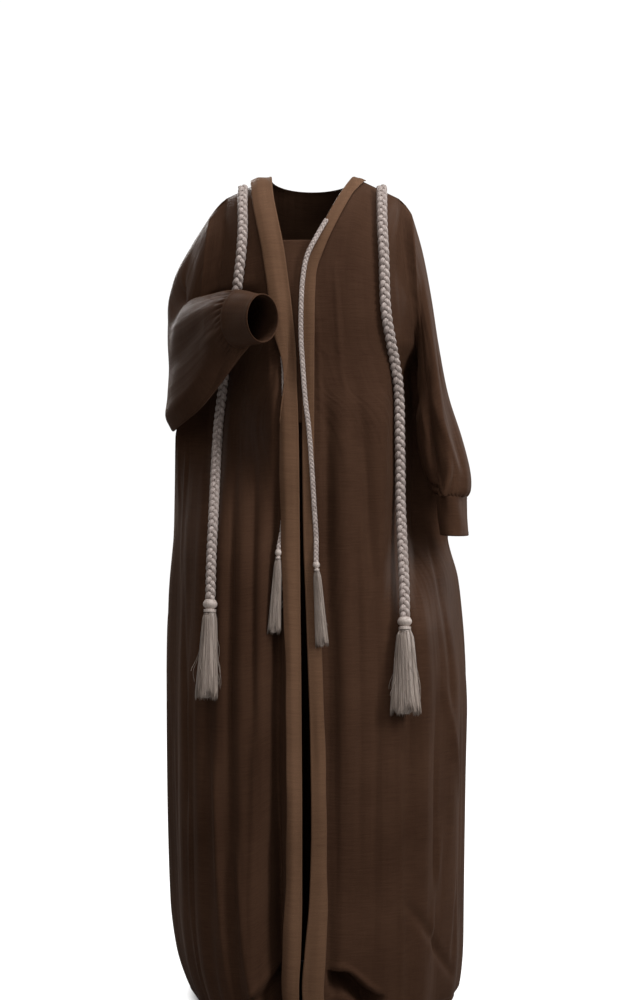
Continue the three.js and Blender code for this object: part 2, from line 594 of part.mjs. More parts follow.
/** Facing turned out along a front edge: the panel's own points, moved out, its free edge lifted. */
function band({ points, normals }, lift, width) {
  const inner = [];
  const outer = [];
  points.forEach((row, i) => {
    const places = bandPlaces(row, width(-row[0].z));
    const stand = (share) => SEAM_GAP + lift * ease(share, 0, 0.7);
    const spots = places.map((place, k) => ({
      point: between(row, place), normal: between(normals[i], place).normalize(), share: k / (places.length - 1),
    }));
    inner.push(spots.map(({ point, normal, share }) => point.clone().addScaledVector(normal, stand(share))));
    outer.push(spots.map(({ point, normal, share }) => point.clone().addScaledVector(normal, stand(share) + WALL)));
  });
  return wall(outer, inner);
}

/** Straight-sided strip behind both front edges, sewn to the right one. */
function underlap({ from, to, left, right, depth }, rows = 8, columns = 7) {
  const outer = [];
  const inner = [];
  for (let i = 0; i <= rows; i += 1) {
    const drop = from + ((to - from) * i) / rows;
    const line = (offset) => Array.from({ length: columns + 1 }, (_, j) => {
      const angle = angleAtX(left + ((right - left) * j) / columns, drop);
      return bodyPoint(angle, drop).addScaledVector(bodyNormal(angle, drop), -offset);
    });
    outer.push(line(WALL + depth));
    inner.push(line(2 * WALL + depth));
  }
  return wall(outer, inner);
}

// ---------------------------------------------------------------- cords and tassels

/** Tube of an oval section along hand-chosen points, a step every two or three diameters. */
function cordTube(route, width, thick) {
  const path = new THREE.CatmullRomCurve3(route.map((p) => vec(...p)), false, 'centripetal');
  const [first] = path.computeFrenetFrames(1).normals;
  const [alongNormal, alongBinormal] = Math.abs(first.x) > Math.abs(first.y) ? [width, thick] : [thick, width];
  const outline = new THREE.Shape(Array.from({ length: CORD_SIDES }, (_, k) => {
    const around = (2 * Math.PI * (k + 0.5)) / CORD_SIDES;
    return new THREE.Vector2((alongNormal / 2) * Math.cos(around), (alongBinormal / 2) * Math.sin(around));
  }));
  const steps = Math.ceil(path.getLength() / (CORD_STEP * width));
  return closed(new THREE.ExtrudeGeometry(outline, { extrudePath: path, steps, bevelEnabled: false }));
}

/** Geometry whose equal corners are shared, so that its faces join into one closed body. */
function closed(geometry) {
  geometry.deleteAttribute('normal');
  geometry.deleteAttribute('uv');
  const merged = mergeVertices(geometry, 1e-3);
  return facingOut(Array.from(merged.attributes.position.array), Array.from(merged.index.array));
}

function solid(geometry) {
  const vertProperties = Float32Array.from(geometry.attributes.position.array);
  const triVerts = Uint32Array.from(geometry.index.array);
  return new wasm.Manifold(new wasm.Mesh({ numProp: 3, vertProperties, triVerts }));
}

function asGeometry(manifold) {
  const mesh = manifold.getMesh();
  return facingOut(Array.from(mesh.vertProperties), Array.from(mesh.triVerts));
}

/** Tapered three-sided strand from its root in the head to its end in the skirt. */
function strand(turn, rootRadius, endRadius, top, length, size, flat) {
  const rings = STRAND_STATIONS.map((t) => {
    const radius = rootRadius + (endRadius - rootRadius) * t ** 0.8;
    const swing = turn + 0.25 * t;
    const depth = 1 + (flat - 1) * t; // the skirt lies flatter against the cloth towards its end
    const centre = vec(radius * Math.cos(swing), radius * Math.sin(swing) * depth, top - length * t);
    return Array.from({ length: 3 }, (_, k) => {
      const around = turn + (2 * Math.PI * k) / 3;
      return centre.clone().add(vec(Math.cos(around), Math.sin(around), 0).multiplyScalar(size / 2));
    });
  });
  const positions = rings.flat().flatMap((p) => [p.x, p.y, p.z]);
  const index = [0, 1, 2];
  const last = 3 * (rings.length - 1);
  index.push(last, last + 2, last + 1);
  for (let i = 0; i < rings.length - 1; i += 1) {
    for (let k = 0; k < 3; k += 1) {
      const [a, b] = [3 * i + k, 3 * i + ((k + 1) % 3)];
      index.push(a, a + 3, b + 3, a, b + 3, b);
    }
  }
  return facingOut(positions, index);
}

/** Tassel: a knotted bead, a wound collar and a skirt of strands whose roots are fused in the collar. */
function tassel({ bead, beadHeight, collar, collarHeight, length, flare, rings, strandSize }) {
  const neck = 0.62 * collar;
  const beadArc = Array.from({ length: 6 }, (_, k) => {
    const tilt = (Math.PI * (k + 0.5)) / 7;
    return [(bead / 2) * Math.sin(tilt), -(beadHeight / 2) * (1 - Math.cos(tilt))];
  });
  const profile = [[0, 0], ...beadArc, [neck / 2, -beadHeight], [collar / 2, -beadHeight - 1.5],
    [collar / 2, -beadHeight - collarHeight + 1], [0.9 * (collar / 2), -beadHeight - collarHeight],
    [0, -beadHeight - collarHeight]];
  const lathe = new THREE.LatheGeometry(profile.reverse().map(([r, z]) => new THREE.Vector2(r, z)), HEAD_SIDES);
  lathe.rotateX(quarter);
  let body = solid(closed(lathe));
  const top = -beadHeight - collarHeight + ROOT_DEPTH;
  for (const { count, root, end, start } of rings) {
    for (let k = 0; k < count; k += 1) {
      const turn = (2 * Math.PI * (k + start)) / count;
      const uneven = 1 - 0.05 * (1 + Math.sin(7 * k + 11 * start));
      const skirt = strand(turn, (root * collar) / 2, (end * flare) / 2, top,
        (length + ROOT_DEPTH) * uneven, strandSize, SKIRT_FLATNESS);
      body = body.add(solid(skirt));
    }
  }
  return asGeometry(body);
}

// ---------------------------------------------------------------- the garment

const rightFront = frontGrid(-1);
const leftFront = frontGrid(1);
const rightSleeve = sleeve(-1, rightFront, RIGHT_SLEEVE, RIGHT_SLEEVE_CREASES);
const leftSleeve = sleeve(1, leftFront, LEFT_SLEEVE, LEFT_SLEEVE_CREASES);

const crepe = new THREE.MeshStandardMaterial({ color: 0x4b3629, roughness: 0.6, metalness: 0 });
const facing = new THREE.MeshStandardMaterial({ color: 0x6b5040, roughness: 0.65, metalness: 0 });
const silk = new THREE.MeshStandardMaterial({ color: 0xb3a79f, roughness: 0.45, metalness: 0 });

const abaya = new THREE.Group();
function piece(name, geometry, material) {
  const mesh = new THREE.Mesh(geometry, material.clone());
  mesh.name = name;
  abaya.add(mesh);
  return mesh;
}

piece('front_right', panelWall(rightFront), crepe);
piece('front_left', panelWall(leftFront), crepe);
piece('back', panelWall(backGrid), crepe);
piece('sleeve_right', tubeWall(rightSleeve), crepe);
piece('sleeve_left', tubeWall(leftSleeve), crepe);
piece('cuff_right', cuff(-1, rightSleeve, RIGHT_CUFF_END), crepe);
piece('cuff_left', cuff(1, leftSleeve, LEFT_CUFF_END), crepe);
piece('band_right', band(rightFront, BAND_LIFT.right, bandRight), facing);
piece('band_left', band(leftFront, BAND_LIFT.left, bandLeft), facing);
piece('underlap', underlap(UNDERLAP), crepe);
for (const { name, route, width, thick, tasselSizes, tilt, lean } of CORDS) {
  const [x, y, z] = route.at(-1);
  piece(`${name}_cord`, cordTube(route, width, thick), silk);
  const hung = piece(`${name}_tassel`, tassel(tasselSizes), silk);
  hung.position.set(x, y, z - TASSEL_GAP);
  hung.rotation.set(radians(tilt), radians(lean), 0);
}

export default abaya;
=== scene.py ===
"""Looks of an open-fronted abaya: crepe panels, sleeves and bands, plaited cords and tassels.

Every shape is a numpy function of two parameters, in millimetres, turned into a mesh in metres.
"""
import math

import bpy
import numpy as np
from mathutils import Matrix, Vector


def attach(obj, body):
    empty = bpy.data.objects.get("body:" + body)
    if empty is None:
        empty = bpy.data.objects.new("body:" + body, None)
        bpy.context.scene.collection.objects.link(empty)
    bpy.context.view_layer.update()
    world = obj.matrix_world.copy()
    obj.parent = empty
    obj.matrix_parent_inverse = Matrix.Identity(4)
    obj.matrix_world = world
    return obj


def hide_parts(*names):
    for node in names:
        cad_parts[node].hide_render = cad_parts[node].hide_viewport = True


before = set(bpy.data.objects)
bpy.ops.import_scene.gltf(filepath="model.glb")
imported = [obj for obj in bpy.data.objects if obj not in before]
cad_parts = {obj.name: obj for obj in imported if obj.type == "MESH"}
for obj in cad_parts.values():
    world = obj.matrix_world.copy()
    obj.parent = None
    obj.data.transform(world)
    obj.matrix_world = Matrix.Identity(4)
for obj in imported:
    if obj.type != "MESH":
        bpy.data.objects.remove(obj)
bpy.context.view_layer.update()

MM = 0.001
rng = np.random.default_rng(56)


# ---------------- objects and camera


def linked(name, data):
    """New object of its data, in the scene."""
    made = bpy.data.objects.new(name, data)
    bpy.context.scene.collection.objects.link(made)
    return made


def aimed(name, data, at, aim):
    made = linked(name, data)
    made.location = at
    made.rotation_euler = (Vector(aim) - Vector(at)).to_track_quat("-Z", "Y").to_euler()
    return made


CAMERA_AT = (0.0, -3.200, -0.450)
CAMERA_AIM = (0.0, 0.0, -0.557)
FRAME_HEIGHT_PX = 1000
FOCAL_PX = 1850
SENSOR = 36.0


def add_camera():
    data = bpy.data.cameras.new("camera")
    data.sensor_fit = "AUTO"
    data.sensor_width = SENSOR
    data.lens = SENSOR * FOCAL_PX / FRAME_HEIGHT_PX
    bpy.context.scene.camera = aimed("camera", data, CAMERA_AT, CAMERA_AIM)


# ---------------- sizes of the garment

CLOTH = 1.3  # thickness of one layer as it shows
SEAM_GAP = 0.3
HEM_DEPTH = 28.0  # depth of the turned hem
GARMENT_LENGTH = 1418.0
NECK_HALF = 70.0
SHOULDER_HALF = 150.0
SHOULDER_FALL = 38.0
BACK_NECK_DROP = 20.0
ARMHOLE_DROP = 310.0
ARMHOLE_OPENING = 0.5  # sine of half the angle that the armhole takes out of the side
SQUARENESS = 0.05  # how far the oval sections fill out towards their corners
COLUMN_SPREAD = 1.25  # above 1, a front panel's columns are closer at its front edge
SEAM_TURN = 2.6  # how far a sleeve reaches in under the edge of its armhole

# Half widths to the wearer's right and left, depths forward and back from the line of the side
# seams, and where that line lies, at each drop from the neck points.
BODY = dict(
    drop=(0, 8, 30, 80, 150, 230, 310, 360, 400, 450, 520, 620, 700, 860, 1050, 1240, 1320, 1390, 1418),
    right=(150, 151, 155, 164, 176, 183, 185, 205, 228, 241, 242, 244, 246, 249, 247, 241, 231, 208, 190),
    left=(150, 151, 155, 164, 176, 183, 183, 201, 222, 233, 238, 238, 252, 264, 260, 257, 256, 250, 234),
    front=(0, 34, 66, 100, 122, 142, 156, 176, 194, 202, 206, 208, 212, 220, 228, 236, 238, 236, 232),
    back=(0, 32, 60, 88, 104, 108, 104, 94, 90, 92, 100, 116, 130, 154, 176, 190, 192, 188, 182),
    middle=(5, 5, 5, 7, 10, 16, 28, 44, 56, 60, 60, 56, 50, 38, 28, 22, 20, 18, 18),
)
FRONT_EDGES = dict(
    drop=(0, 40, 86, 130, 180, 240, 330, 450, 620, 725, 810, 930, 1080, 1200, 1290, 1345, 1418),
    right=(-70, -66, -58, -50, -43, -36, -29, -25, -23, -22, -21, -20, -19, -19, -21, -24, -24),
    left=(70, 46, 22, 2, -13, -15, -15, -15, -13, -9, -6, -2, 0, -3, -11, -15, -9),
)
BANDS = dict(
    drop=(0, 450, 560, 640, 720, 860, 1150, 1300, 1418),
    right=(33, 31, 27, 24, 22, 19, 19, 24, 32),
    left=(20, 17, 17, 19, 22, 20, 25, 32, 32),
)
BAND_LIFT = {-1: 8.4, 1: 2.5}  # how far each band's outer part stands off its panel, by side

# Long folds: angle round the body at the top and at the hem, from the middle of the front with the
# wearer's right negative, the drops between which it runs, its width in degrees and its height.
LONG_FOLDS = (
    (-52, -58, 430, 1600, 5.5, 9), (-44, -45, 380, 1600, 4.5, 13), (-34, -37, 420, 1600, 3.6, 12),
    (-27, -26, 400, 1600, 3.8, 11), (-19, -19, 480, 1600, 3.2, 8), (-13, -14, 180, 1600, 3.6, -13),
    (-15, -16, 1000, 1700, 4.2, -26), (6, 6, 330, 1600, 2.6, -9), (13, 12, 300, 1100, 4.6, 9),
    (19, 34, 320, 760, 2.6, -7), (28, 27, 760, 1600, 5.5, 7), (42, 41, 640, 1600, 6, 10),
    (58, 62, 700, 1600, 6.5, 11), (78, 80, 760, 1600, 6, 8), (-72, -76, 560, 1600, 6, 9),
    (101, 104, 560, 1600, 6.5, 11), (121, 124, 420, 1600, 5.5, 13), (139, 143, 470, 1600, 5.5, 11),
    (157, 158, 260, 1600, 5, 13), (173, 175, 330, 1600, 5, 10), (-171, -168, 240, 1600, 5.5, 14),
    (-153, -150, 430, 1600, 5, 10), (-137, -134, 380, 1600, 5.5, 13), (-118, -116, 500, 1600, 5.5, 10),
    (-98, -99, 620, 1600, 6, 11),
)
FOLD_EASE = 170.0  # a long fold grows and fades over this drop
HEM_ZONE = 1285.0  # below this drop a panel's rows are closer
# Small creases and drag lines laid over the long folds, in the same columns; each fades out at both
# ends over a third of its length.
CREASES = (
    (-62, -60, 300, 760, 1.5, 2.2), (-56, -49, 620, 1180, 1.4, -2.6), (-48, -52, 700, 1380, 1.2, 2.4),
    (-40, -41, 330, 900, 1.1, -2.8), (-38, -33, 900, 1418, 1.3, 3.2), (-31, -31, 380, 1180, 0.9, -3.4),
    (-29, -24, 1080, 1418, 1.1, 2.6), (-23, -22, 360, 1000, 0.9, -3.0), (-21, -24, 860, 1418, 1.0, 2.2),
    (-24, -17, 210, 420, 1.3, -2.2), (-45, -36, 230, 470, 1.6, 2.4), (-66, -58, 240, 560, 1.6, -3.0),
    (3, 4, 240, 620, 1.0, 1.6), (8, 9, 700, 1290, 0.9, -2.4), (11, 16, 130, 430, 1.4, 1.4),
    (16, 17, 560, 1210, 1.1, -2.2), (20, 19, 420, 900, 1.3, 1.9), (24, 22, 640, 1330, 1.1, -2.4),
    (31, 33, 820, 1418, 1.2, 2.8), (36, 35, 560, 1150, 1.2, -2.6), (38, 52, 470, 640, 1.5, 2.2),
    (47, 49, 820, 1400, 1.4, -3.0), (52, 44, 1090, 1340, 1.6, 3.4), (66, 58, 1130, 1380, 1.8, -4.0),
    (54, 57, 560, 1000, 1.5, -2.2), (70, 71, 860, 1380, 1.5, 2.6), (87, 88, 500, 1300, 1.6, -3.0),
    (96, 97, 700, 1380, 1.4, 2.6), (110, 112, 480, 1380, 1.6, -3.6), (116, 109, 620, 1000, 1.4, 2.2),
    (130, 133, 360, 1300, 1.5, -3.8), (148, 150, 300, 1380, 1.5, -3.6), (152, 146, 700, 1240, 1.3, 2.4),
    (165, 167, 200, 1340, 1.4, -3.8), (178, 180, 120, 1380, 1.4, 2.0), (-178, -177, 420, 1400, 1.3, -3.2),
    (-163, -160, 260, 1380, 1.5, -3.8), (-158, -164, 620, 1180, 1.3, 2.2), (-145, -142, 330, 1400, 1.5, -3.4),
    (-128, -125, 420, 1360, 1.5, -3.8), (-122, -130, 700, 1150, 1.4, 2.4), (-108, -107, 560, 1400, 1.6, -3.4),
    (50, 68, 830, 1110, 1.8, 2.6), (30, 64, 1190, 1380, 2.4, -3.6), (-14, -15, 430, 1418, 1.8, -8.5),
    (-16, -11, 560, 980, 1.2, -1.6), (-50, -51, 720, 1418, 0.8, 2.6), (-66, -60, 900, 1300, 1.4, 1.8),
    (-90, -88, 640, 1380, 1.5, 2.6), (-84, -86, 520, 1180, 1.6, -2.8), (-78, -66, 300, 620, 1.7, 2.2),
)
CREASE_DEPTH = 1.5  # all the small creases are this much deeper than their column says
# The hem stands on the feet. Between two angles, below a line that drops by `fall` across them, the
# cloth falls back by `depth` from under a raised lip, and some of it comes forward again.
BUCKLES = (
    dict(line=1318, fall=40, turn=(11, 25), start=7.2, end=24, side=2.2, depth=50, forward=0.8),
    dict(line=1366, fall=-54, turn=(-27, -12), start=-26, end=-14.5, side=2.5, depth=34, forward=0.1),
)
BUCKLE_EDGE = 4  # drop in which the cloth falls back
BUCKLE_GROOVE = (9, 48)  # how far below the line the cloth starts and ends to come forward
BUCKLE_LIP = dict(height=3, above=6, width=6)
HEM_RISE = dict(angle=-16, width=5, rise=26)
# Where an arm rests in front of the side, the front gives way behind a sloping line.
ARM_TUCKS = (
    dict(side=-1, start=180, full=245, fade=380, to=660, out=84, y=-102, slope=1.5, behind=46),
    dict(side=1, start=285, full=345, fade=560, to=780, out=138, y=-74, slope=3.2, behind=40),
)
TUCK_SOFTNESS = 6.0  # rounding between the cloth's own place and the limit
UNDERLAP = dict(start=118, to=423, left=-74, right=2, depth=4.5)

# Sections of the sleeves from armhole to cuff: an oval between an upper and an under point, with its
# half thickness, the way that thickness faces and how much slimmer the under side is.
RIGHT_SLEEVE = dict(
    upper=((-176, 6, -70), (-206, 8, -116), (-231, 4, -172), (-211, -20, -214), (-196, -48, -213),
           (-178, -78, -211), (-158, -106, -209), (-138, -132, -207), (-119, -156, -209)),
    under=((-200, 20, -318), (-212, 16, -354), (-224, 8, -406), (-240, -10, -437), (-221, -46, -424),
           (-190, -76, -398), (-163, -104, -366), (-140, -130, -332), (-120, -156, -301)),
    half=(68, 62, 48, 38, 38, 39, 40, 40, 37),
    heading=(0, 12, 32, 62, 96, 114, 122, 126, 128),
    slim=(0.1, 0.3, 0.5, 0.6, 0.6, 0.5, 0.4, 0.2, 0),
)
LEFT_SLEEVE = dict(
    upper=((170, 5, -66), (188, 3, -128), (203, 0, -205), (216, -6, -290), (232, -14, -375),
           (255, -22, -448), (269, -30, -505), (270, -38, -538), (262, -42, -548)),
    under=((184, 14, -324), (182, 0, -350), (182, -14, -370), (184, -18, -388), (180, -22, -420),
           (184, -28, -464), (195, -34, -510), (204, -40, -538), (212, -44, -546)),
    half=(66, 58, 52, 48, 48, 48, 50, 49, 43),
    heading=(0, 0, 0, 0, 0, 4, 6, 8, 8),
    slim=(0.1, 0.3, 0.3, 0.2, 0, 0, 0, 0, 0),
)
RIGHT_CUFF_END = dict(upper=((-80, -208, -219),), under=((-81, -208, -294),), half=(31,), heading=(130,),
                      slim=(0,))
LEFT_CUFF_END = dict(upper=((264, -54, -615),), under=((219, -55, -613),), half=(38,), heading=(10,),
                     slim=(0,))

# Creases of the sleeves: stations between which each runs, the angle round the sleeve from its upper
# line through its front at the start and the end, its width in degrees and its height.
RIGHT_SLEEVE_CREASES = (
    (0.5, 6, 150, 120, 16, -7), (1.5, 7.2, 215, 235, 15, -8), (2, 6.5, 262, 285, 15, 6),
    (3.5, 8.2, 310, 300, 14, -5), (5, 8.2, 185, 205, 14, 5), (0, 4, 60, 75, 18, -6),
    (4.4, 8, 20, 70, 8, 2.6), (5.2, 8, 60, 95, 7, -2.8), (3.2, 7.6, 95, 140, 8, 2.4),
    (5.8, 8, 130, 118, 6, -2.6), (2.4, 5.6, 160, 196, 8, 3), (5.4, 8, 340, 322, 7, 2.4),
    (6, 8, 262, 250, 7, -2.6), (1, 3.6, 20, 44, 9, 2.6), (1.4, 4.6, 318, 296, 9, -2.8),
    (5, 7.8, 168, 152, 6, 2.2), (6.4, 8, 30, 18, 5, -2), (6.6, 8, 82, 78, 5, 1.8),
)
LEFT_SLEEVE_CREASES = (
    (1, 7, 62, 84, 15, -6), (2.5, 8, 108, 120, 14, 6), (4, 8.3, 30, 44, 14, -5),
    (0.5, 6, 250, 262, 16, -6), (4.5, 8.3, 292, 300, 15, 5), (3, 8, 208, 222, 15, -5),
    (1.6, 4.4, 20, 62, 8, 2.8), (3.4, 6.4, 96, 54, 8, -3), (5, 7.8, 70, 96, 6, 2.8),
    (5.6, 8, 128, 100, 7, -2.6), (0.6, 3.2, 96, 120, 9, 2.4), (2, 5, 150, 128, 8, -2.6),
    (4, 7.4, 330, 352, 8, 2.4), (5.6, 8, 12, 24, 6, 2.2), (5, 7.6, 264, 240, 8, 2.4),
    (1.4, 4.6, 300, 328, 9, -2.4), (5.8, 8, 160, 178, 7, 2.4), (4.2, 7, 186, 170, 8, -2.4),
    (4.0, 8.8, 104, 166, 13, 9), (6.0, 9.2, 186, 50, 11, 10), (5.0, 8.8, 70, 128, 9, -8),
)
# Gathers grow over `reach` stations and lose the share `flat` over the last `seam` stations.
CUFF_GATHERS = dict(count=31, height=1.5, reach=0.85, seam=0.2, flat=0.8)

# Cords: given points of each middle line, from where it is sewn on to the top of its tassel.
SIDE_TASSEL = dict(bead=24, bead_height=14, collar=21, collar_height=6, threads=520, strays=9)
FRONT_TASSEL = dict(bead=11.5, bead_height=9.5, collar=9.5, collar_height=4.5, threads=220, strays=3)
CORDS = (
    dict(
        name="side_right", width=17, thick=17, pitch=37, hang=dict(length=149, flare=36, tilt=-10, lean=2),
        head=SIDE_TASSEL, cut=0.79,
        route=((-118, -36, -22), (-118, -64, -53), (-117, -85, -96), (-119, -99, -140), (-126, -97, -200),
               (-134, -58, -250), (-144, -31, -300), (-151, -21, -340), (-157, -13, -385),
               (-161, -15, -418), (-163, -26, -452), (-165, -64, -518), (-166, -108, -585),
               (-168, -132, -651), (-169, -147, -717)),
    ),
    dict(
        name="side_left", width=18, thick=18, pitch=38, hang=dict(length=146, flare=50, tilt=-12, lean=0),
        head=SIDE_TASSEL, cut=0.79,
        route=((118, -36, -22), (117, -64, -53), (117, -85, -96), (119, -98, -140), (121, -110.8, -222),
               (124, -111.8, -251), (130, -107, -284), (137, -96, -318), (143, -89, -351), (146, -82, -385),
               (147, -84, -448), (148, -82, -500), (148, -86, -552), (150, -106, -619), (152, -136, -690),
               (152, -157, -745)),
    ),
    dict(
        name="front_right", width=8.5, thick=4.2, pitch=21, hang=dict(length=129, flare=22, tilt=-7, lean=3),
        head=FRONT_TASSEL, cut=0.54,
        route=((-77, -102.2, -130), (-70, -115.5, -180), (-61, -124.4, -240), (-53, -124.4, -285),
               (-48, -121.6, -330), (-47, -123.4, -365), (-47, -129.2, -400), (-47, -135.2, -450),
               (-47, -138.4, -500), (-47.5, -142, -560), (-50, -143.8, -600), (-56, -150, -634)),
    ),
    dict(
        name="front_left", width=8.5, thick=4.2, pitch=21, hang=dict(length=131, flare=22, tilt=-7, lean=-4),
        head=FRONT_TASSEL, cut=0.61,
        route=((24, -99.6, -84), (6, -110.8, -116), (-9, -117, -147), (-16, -123.6, -184),
               (-19, -130.6, -235), (-19, -132.6, -285), (-17, -134, -318), (-12, -142.1, -385),
               (-6, -147.8, -435), (-1, -151.4, -501), (2.5, -155, -559), (6, -158.4, -616), (6, -166, -653)),
    ),
)
TASSEL_GAP = 0.9  # between a cord's last route point and the top of its bead
SKIRT_FLATNESS = 0.6  # depth over width of a skirt's open end


# ---------------- small mathematics


def ease(x, start, end):
    """Smooth step: 0 before start, 1 after end, 3t^2 - 2t^3 between."""
    t = np.clip((x - start) / (end - start), 0, 1)
    return t * t * (3 - 2 * t)


def window(x, start, full, fade, end):
    """Rises from start to full and falls from fade to end."""
    return ease(x, start, full) * (1 - ease(x, fade, end))


def cubic(t, start, leave, finish, arrive):
    """Hermite curve between two points with its direction at each."""
    return ((2 * t**3 - 3 * t**2 + 1) * start + (t**3 - 2 * t**2 + t) * leave
            + (3 * t**2 - 2 * t**3) * finish + (t**3 - t**2) * arrive)


def bell(x):
    """exp(-x^2)."""
    return np.exp(-np.square(x))


def turn_between(a, b):
    """Shortest way round from b to a, in degrees."""
    return (a - b + 540) % 360 - 180


def crest(degrees, first, last, along, width):
    """Bell across a line that turns from its first angle to its last as `along` goes from 0 to 1."""
    return bell(turn_between(degrees, first + (last - first) * along) / width)


def full_turn(count):
    """Angles at equal steps round a circle, the first at 0."""
    return 2 * np.pi * np.arange(count) / count


def unit(v):
    return v / np.maximum(np.linalg.norm(v, axis=-1, keepdims=True), 1e-9)


def run_of(line):
    """Length of a line of points up to each of them."""
    return np.concatenate([[0], np.linalg.norm(np.diff(line, axis=0), axis=1).cumsum()])


def read_along(line, run, at):
    """Points of a line, or its directions, at given lengths along it."""
    return np.stack([np.interp(at, run, line[:, k]) for k in range(3)], 1)


def column(table, key):
    """Cubic curve through a column against its drop, with harmonic-mean slopes, so it never overshoots."""
    xs, ys = np.array(table["drop"], float), np.array(table[key], float)
    slopes = np.diff(ys) / np.diff(xs)
    before, after = slopes[:-1], slopes[1:]
    total = np.where(before * after > 0, before + after, 1.0)
    inner = np.where(before * after > 0, 2 * before * after / total, 0.0)
    tangents = np.concatenate([slopes[:1], inner, slopes[-1:]])

    def at(x):
        x = np.clip(x, xs[0], xs[-1])
        i = np.clip(np.searchsorted(xs, x) - 1, 0, len(xs) - 2)
        span = xs[i + 1] - xs[i]
        t = (x - xs[i]) / span
        rise = t * t * (3 - 2 * t)
        bend = tangents[i] * t * (1 - t) ** 2 - tangents[i + 1] * t * t * (1 - t)
        return ys[i] * (1 - rise) + ys[i + 1] * rise + span * bend

    return at


def through(values, place):
    """Catmull-Rom curve through values at 0, 1, 2..., read at each place."""
    v = np.asarray(values, float)
    n = len(v)
    if n == 1:
        return np.broadcast_to(v[0], np.shape(place) + v.shape[1:])
    i = np.clip(np.floor(place).astype(int), 0, n - 2)
    t = place - i
    if v.ndim == 2:
        t = t[..., None]
    p0, p1 = v[np.maximum(i - 1, 0)], v[i]
    p2, p3 = v[i + 1], v[np.minimum(i + 2, n - 1)]
    return 0.5 * (2 * p1 + (p2 - p0) * t + (2 * p0 - 5 * p1 + 4 * p2 - p3) * t**2
                  + (3 * p1 - p0 - 3 * p2 + p3) * t**3)


def normals_of(points, ring=False):
    """Unit cross product of the two directions of a grid of points; ring joins its columns."""
    down = np.gradient(points, axis=0)
    if ring:
        across = np.roll(points, -1, 1) - np.roll(points, 1, 1)
    else:
        across = np.gradient(points, axis=1)
    return unit(np.cross(down, across))


# ---------------- the body's surface

half_right, half_left = column(BODY, "right"), column(BODY, "left")
depth_front, depth_back = column(BODY, "front"), column(BODY, "back")
seam_line = column(BODY, "middle")
edge_x = {-1: column(FRONT_EDGES, "right"), 1: column(FRONT_EDGES, "left")}
band_width = {-1: column(BANDS, "right"), 1: column(BANDS, "left")}


def fold_lift(degrees, drop):
    """Sum of bells across each fold's and crease's middle line, each grown and faded along its drop,
    less what each buckle falls back."""
    lift = np.zeros(np.broadcast(degrees, drop).shape)
    for top, hem, start, end, width, height in LONG_FOLDS:
        along = np.clip((drop - start) / (GARMENT_LENGTH - start), 0, 1)
        grown = window(drop, start, start + FOLD_EASE, end - FOLD_EASE, end)
        lift += height * grown * crest(degrees, top, hem, along, width)
    for top, hem, start, end, width, height in CREASES:
        third = (end - start) / 3
        along = np.clip((drop - start) / (end - start), 0, 1)
        last = 1.0 if end >= GARMENT_LENGTH else 1 - ease(drop, end - third, end)
        grown = ease(drop, start, start + third) * last
        lift += CREASE_DEPTH * height * grown * crest(degrees, top, hem, along, width)
    for b in BUCKLES:
        start, end, soft = b["start"], b["end"], b["side"]
        across = window(degrees, start - soft, start + soft, end - soft, end + soft)
        below = drop - b["line"] - b["fall"] * ease(degrees, *b["turn"])
        fallen = ease(below, 0, BUCKLE_EDGE) * (1 - b["forward"] * ease(below, *BUCKLE_GROOVE))
        lip = BUCKLE_LIP["height"] * bell((below + BUCKLE_LIP["above"]) / BUCKLE_LIP["width"])
        lift += across * (lip - b["depth"] * fallen)
    return lift


def tuck_behind_arm(x, y, drop, facing):
    """How far the front gives way in +Y: the soft maximum of its own place and a sloping limit."""
    give = np.zeros(x.shape)
    for arm in ARM_TUCKS:
        out = arm["side"] * x
        grown = window(drop, arm["start"], arm["full"], arm["fade"], arm["to"])
        grown = grown * ease(facing, 0, 0.2) * (out > 0)
        sloping = arm["y"] + arm["slope"] * (out - arm["out"])
        limit = np.minimum(np.minimum(arm["behind"], seam_line(drop) - 8), sloping)
        push = np.clip((limit - y) / TUCK_SOFTNESS, -30, 30)
        give += grown * TUCK_SOFTNESS * np.log1p(np.exp(push))
    return give


def body_point(angle, drop):
    """Oval section of the tables' half widths and depths at a drop, raised by its folds.

    x = half width * sin(angle), y = seam line - depth * cos(angle), both filled out a little towards
    the corners; z is the drop and the fall of the shoulder."""
    s, c = np.sin(angle), np.cos(angle)
    half = np.where(s >= 0, half_left(drop), half_right(drop))
    depth = np.where(c >= 0, depth_front(drop), depth_back(drop))
    fill = 1 + SQUARENESS * np.sin(2 * angle) ** 2
    out = unit(np.stack([s / half, -c / np.maximum(depth, 1)], -1))
    out = out * fold_lift(np.degrees(angle), drop)[..., None]
    x = half * s * fill + out[..., 0]
    y = seam_line(drop) - depth * c * fill + out[..., 1]
    y = y + np.where(c > 0, tuck_behind_arm(x, y, drop, c), 0)
    beyond = np.clip((np.abs(x) - NECK_HALF) / (SHOULDER_HALF - NECK_HALF), 0, 1)
    fall = SHOULDER_FALL * beyond * (1 - ease(drop, 0, ARMHOLE_DROP))
    return np.stack([x, y, -drop - fall], -1)


def body_normal(angle, drop):
    """Outward normal, from points a little to each side."""
    turn, step = 0.004, 1.2
    across = body_point(angle + turn, drop) - body_point(angle - turn, drop)
    down = body_point(angle, drop + step) - body_point(angle, np.maximum(drop - step, 0))
    return unit(np.cross(down, across))


def hem_drop(angle):
    """Drop of the hem at an angle: the full length, less a bell beside the right band."""
    rise = HEM_RISE["rise"] * bell(turn_between(np.degrees(angle), HEM_RISE["angle"]) / HEM_RISE["width"])
    return GARMENT_LENGTH - rise


def angle_at(x, drop):
    half = np.where(x >= 0, half_left(drop), half_right(drop))
    return np.arcsin(np.clip(x / half, -1, 1))


